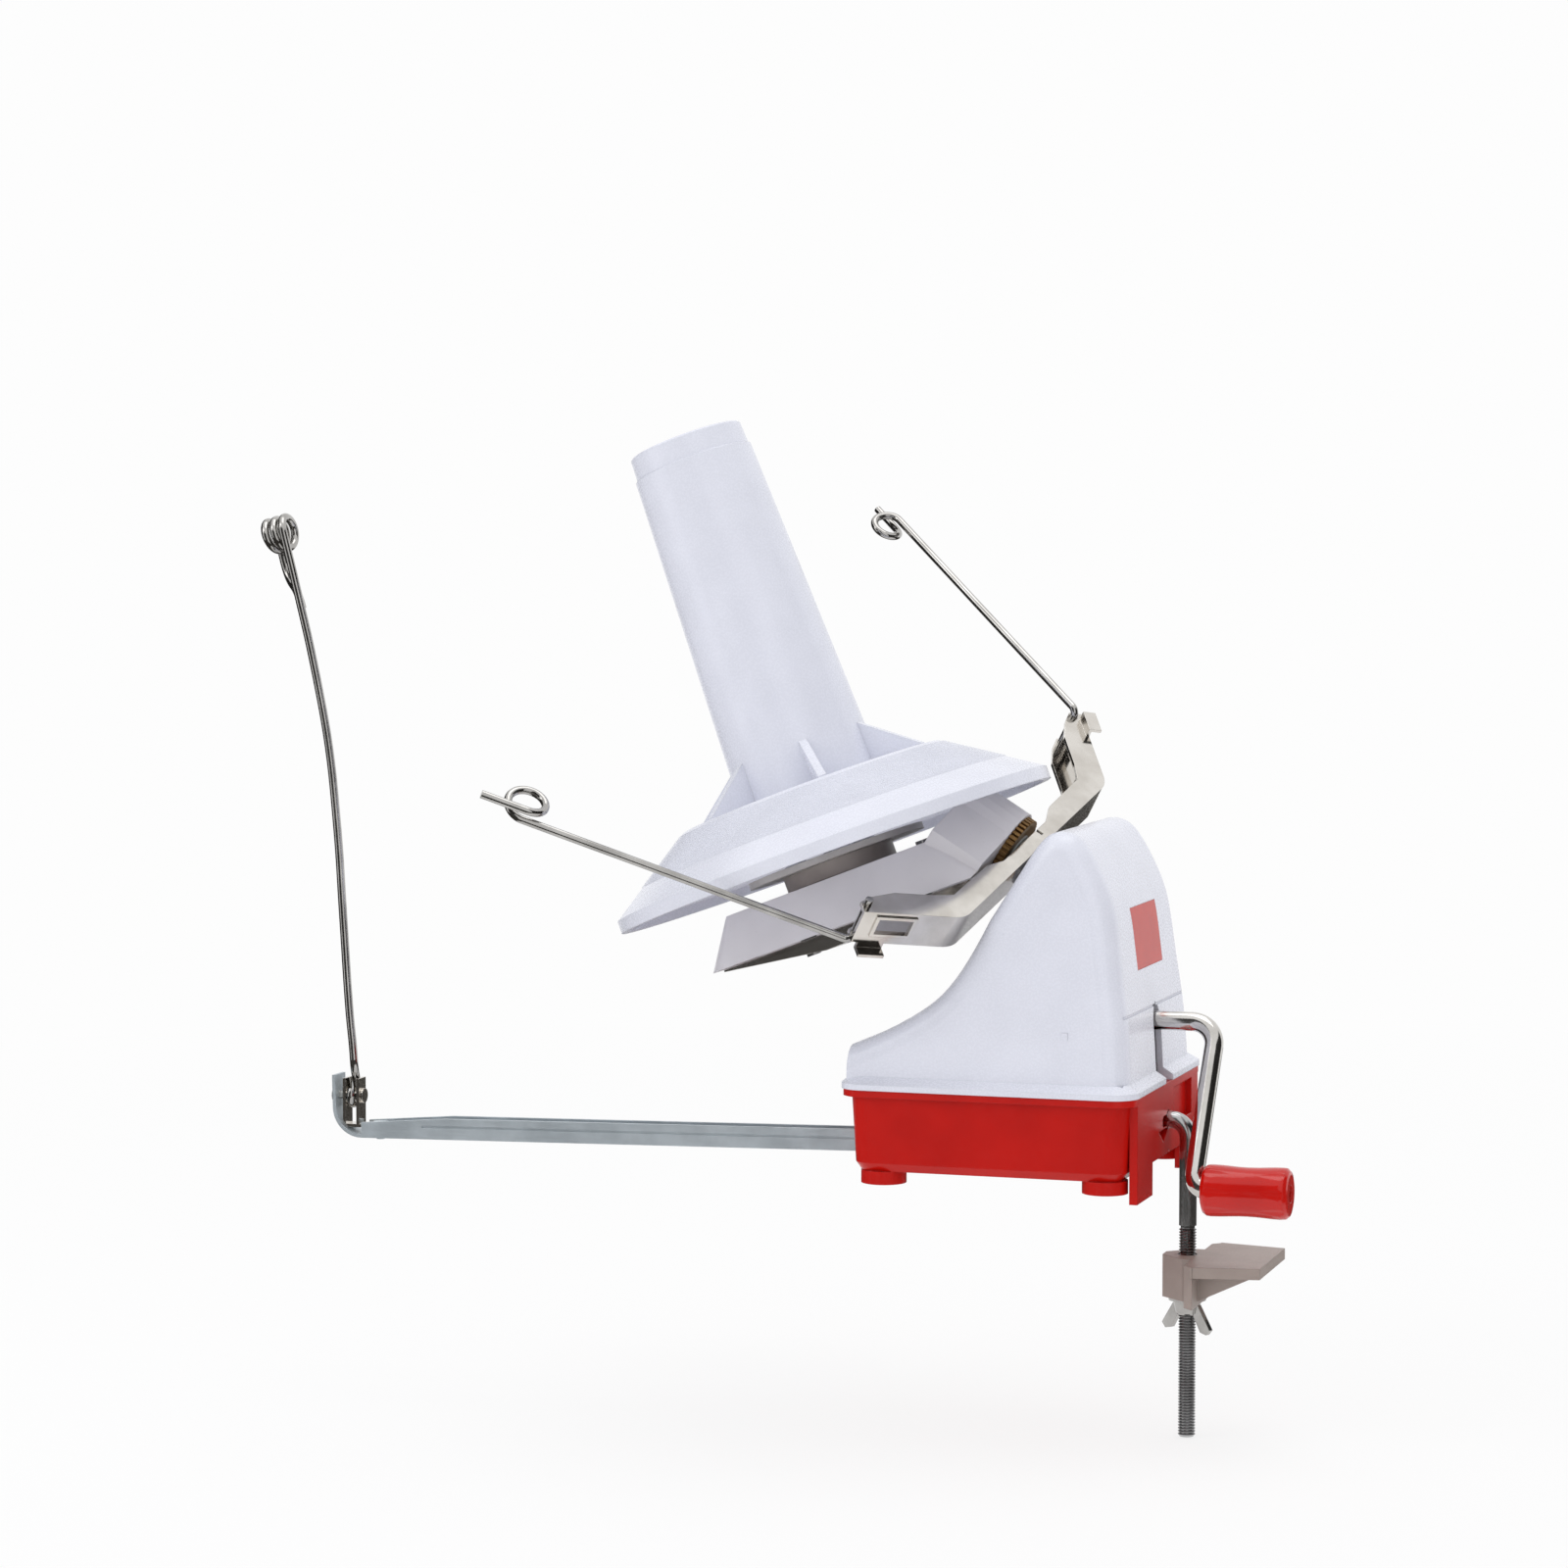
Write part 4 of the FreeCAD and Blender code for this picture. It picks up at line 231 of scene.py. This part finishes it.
# Enamel, nylon and acetal: dull and even, with a fine grit. Cast alloy and bronze: dull metal, in
# which the sintered bronze shows its grains.
jaw_paint = gritty_solid("stove_enamel_taupe", "#A0938C", "#978A83", 0.45, 0.6, 0.25)
grey_nylon = gritty_solid("grey_nylon", "#BCB8B6", "#B3AFAD", 0.42, 0.4, 0.1)
# The dark grey hub is drawn much lighter than dark grey: painted light, which lifts it out of the
# shade that it sits in.
hub_nylon = gritty_solid("dark_grey_nylon", "#BDB3AF", "#B2A8A4", 0.42, 0.4, 0.1)
acetal = gritty_solid("acetal", "#DDD8CC", "#D6D0C3", 0.38, 0.5, 0.08)
die_cast = gritty_solid("die_cast_alloy", "#9FA2A5", "#8F9295", 0.42, 0.5, 0.2, metallic=1.0)
bronze = gritty_solid("sintered_bronze", "#8F7048", "#7C603D", 0.4, 0.25, 0.15, metallic=1.0)

finishes = {
    "white_shell": white_abs, "red_shell": red_abs, "nickel": nickel, "zinc": zinc,
    "gear_plastic": acetal, "casting": die_cast, "jaw_metal": jaw_paint,
    "grey_plastic": grey_nylon, "bronze": bronze, "steel": steel,
}
own_finish = {
    "wire_arm_near": nickel_wire, "wire_arm_far": nickel_wire, "mast_wire": nickel_wire,
    "wing_nut": nickel_wire, "washer": nickel_wire, "mast_bracket": nickel,
    "crank_rod": crank_nickel, "crank_knob": knob_abs, "clamp_rod": rod_zinc,
    "spool_hub": hub_nylon, "hood": hood_abs, "badge": badge_abs,
}
for entry in frame["record"]["subparts"]:
    piece = nodes[entry["node"]]
    piece.data.materials.clear()
    piece.data.materials.append(own_finish.get(entry["node"], finishes[entry["material_slot"]]))


def seen_and_mirrored(owner):
    """1 for what is seen straight, in metal or through glass, and 0 for the light on the pieces."""
    ray = add(owner, "ShaderNodeLightPath").outputs
    both = add(owner, "ShaderNodeMath", {0: ray["Is Camera Ray"], 1: ray["Is Glossy Ray"]})
    return add(owner, "ShaderNodeMath", {0: both.outputs[0], 1: ray["Is Transmission Ray"]},
               use_clamp=True)


def paper_floor(height):
    """A pale paper sheet that still takes the winder's shadow. It is mostly white by itself, and
    wholly so far from the winder, where it meets the white round it."""
    sheet_size = 12.0
    shadow_ends, all_white = 0.25, 1.2  # m from the winder
    backdrop = blank("backdrop_paper")
    paper = add(backdrop, "ShaderNodeBsdfDiffuse", {"Color": linear("#F4F4F5")})
    glow = add(backdrop, "ShaderNodeEmission", {"Color": linear(clean_white), "Strength": 1.0})
    where = add(backdrop, "ShaderNodeTexCoord").outputs["Object"]
    away = add(backdrop, "ShaderNodeVectorMath", {0: where}, operation="LENGTH").outputs["Value"]
    own_white = add(backdrop, "ShaderNodeMapRange", {
        "Value": away, "From Min": shadow_ends, "From Max": all_white,
        "To Min": 0.8, "To Max": 1.0})
    seen = seen_and_mirrored(backdrop).outputs[0]
    share = add(backdrop, "ShaderNodeMath", {0: seen, 1: own_white.outputs["Result"]},
                operation="MULTIPLY")
    both = add(backdrop, "ShaderNodeMixShader", {
        0: share.outputs[0], 1: paper.outputs[0], 2: glow.outputs[0]})
    add(backdrop, "ShaderNodeOutputMaterial", {"Surface": both.outputs[0]})
    bpy.ops.mesh.primitive_plane_add(size=sheet_size, location=(0, 0, height))
    sheet = bpy.context.object
    sheet.name = "paper_floor"
    sheet.data.materials.append(backdrop)


def white_room():
    """Even light from all round, a little stronger from above, and white wherever it is seen."""
    world = bpy.data.worlds.new("white_room")
    bpy.context.scene.world = world
    world.use_nodes = True
    world.node_tree.nodes.clear()
    where = add(world, "ShaderNodeTexCoord").outputs["Generated"]
    up = add(world, "ShaderNodeSeparateXYZ", {"Vector": where}).outputs["Z"]
    level = add(world, "ShaderNodeMapRange", {"Value": up, "From Min": -1.0, "From Max": 1.0})
    shade = between(add(world, "ShaderNodeValToRGB", {"Fac": level.outputs["Result"]}),
                    [(0.0, "#E0E0E0"), (0.5, "#E8E8E8"), (1.0, "#FFFFFF")])
    ambient = add(world, "ShaderNodeBackground", {
        "Color": shade.outputs["Color"], "Strength": 0.95})
    seen = add(world, "ShaderNodeBackground", {"Color": linear(clean_white), "Strength": 1.0})
    both = add(world, "ShaderNodeMixShader", {
        0: seen_and_mirrored(world).outputs[0], 1: ambient.outputs[0], 2: seen.outputs[0]})
    add(world, "ShaderNodeOutputWorld", {"Surface": both.outputs[0]})


def hang_felt(name, corners, faces, shade):
    """Dark felt that no lamp, shadow or camera sees: it only gives the metal its dark lines."""
    mesh = bpy.data.meshes.new(name)
    mesh.from_pydata(corners, [], faces)
    board = bpy.data.objects.new(name, mesh)
    bpy.context.scene.collection.objects.link(board)
    felt = blank(name + "_felt")
    face = add(felt, "ShaderNodeEmission", {"Color": linear(shade), "Strength": 1.0})
    add(felt, "ShaderNodeOutputMaterial", {"Surface": face.outputs[0]})
    mesh.materials.append(felt)
    board.visible_camera = False
    board.visible_diffuse = False
    board.visible_transmission = False
    board.visible_shadow = False


def dark_board(name, start, end, shade):
    """A curved upright board between two bearings, in degrees from -Y towards +X."""
    low, high, away = -0.3, 0.85, 1.0  # m
    strips = 12
    corners = []
    for i in range(strips + 1):
        bearing = math.radians(start + (end - start) * i / strips)
        corners += [(away * math.sin(bearing), -away * math.cos(bearing), z) for z in (low, high)]
    faces = [(2 * i, 2 * i + 2, 2 * i + 3, 2 * i + 1) for i in range(strips)]
    hang_felt(name, corners, faces, shade)


def dark_mat(name, height, inner, outer, shade):
    """A flat ring laid round the winder."""
    strips = 36
    corners = []
    for i in range(strips):
        bearing = math.radians(360 / strips * i)
        corners += [(radius * math.cos(bearing), radius * math.sin(bearing), height)
                    for radius in (inner, outer)]
    last = len(corners)
    faces = [(2 * i, 2 * i + 1, (2 * i + 3) % last, (2 * i + 2) % last) for i in range(strips)]
    hang_felt(name, corners, faces, shade)


def soft_box(name, place, target, width, tall, watts):
    """A cloth-fronted lamp at a place, turned to a target. Its width and height are in metres."""
    lamp = bpy.data.lights.new(name, "AREA")
    lamp.shape = "RECTANGLE"
    lamp.size = width
    lamp.size_y = tall
    lamp.energy = watts
    holder = bpy.data.objects.new(name, lamp)
    bpy.context.scene.collection.objects.link(holder)
    holder.location = place
    holder.rotation_euler = (Vector(target) - Vector(place)).to_track_quat("-Z", "Y").to_euler()


lowest = cad_box[0][2]
paper_floor(lowest - 0.5 * MM)
white_room()

# Felt boards and a mat, which only polished faces mirror.
dark_board("board_front", -48, 8, "#3A3938")
dark_board("board_left", -130, -70, "#2A2928")
dark_board("board_right", 50, 120, "#2A2928")
dark_mat("mat", lowest + 1 * MM, 0.3, 0.99, "#454340")

middle = (-0.09, 0.0, 0.12)  # of the winder, as the camera frames it
soft_box("lamp_left", (-1.1, -1.0, 1.1), middle, 0.8, 0.8, watts=3.6)
soft_box("lamp_low", (-0.5, -1.3, 0.05), middle, 0.7, 0.3, watts=0.8)
soft_box("lamp_top", (0.1, 0.1, 1.6), middle, 1.0, 1.0, watts=5.0)

# The photograph's view: 1.5 m off, 18 degrees to the right of square on and 3.7 degrees above.
viewpoint = (0.37419, -1.42364, 0.22786)
sight_line = (-0.3083, 0.9491, -0.0638)
lens = bpy.data.cameras.new("camera")
lens.sensor_width = 36.0
lens.lens = 97.86
lens.clip_end = 20.0
camera = bpy.data.objects.new("camera", lens)
bpy.context.scene.collection.objects.link(camera)
camera.location = viewpoint
camera.rotation_euler = Vector(sight_line).to_track_quat("-Z", "Y").to_euler()
bpy.context.scene.camera = camera
bpy.context.scene.view_settings.view_transform = "Standard"
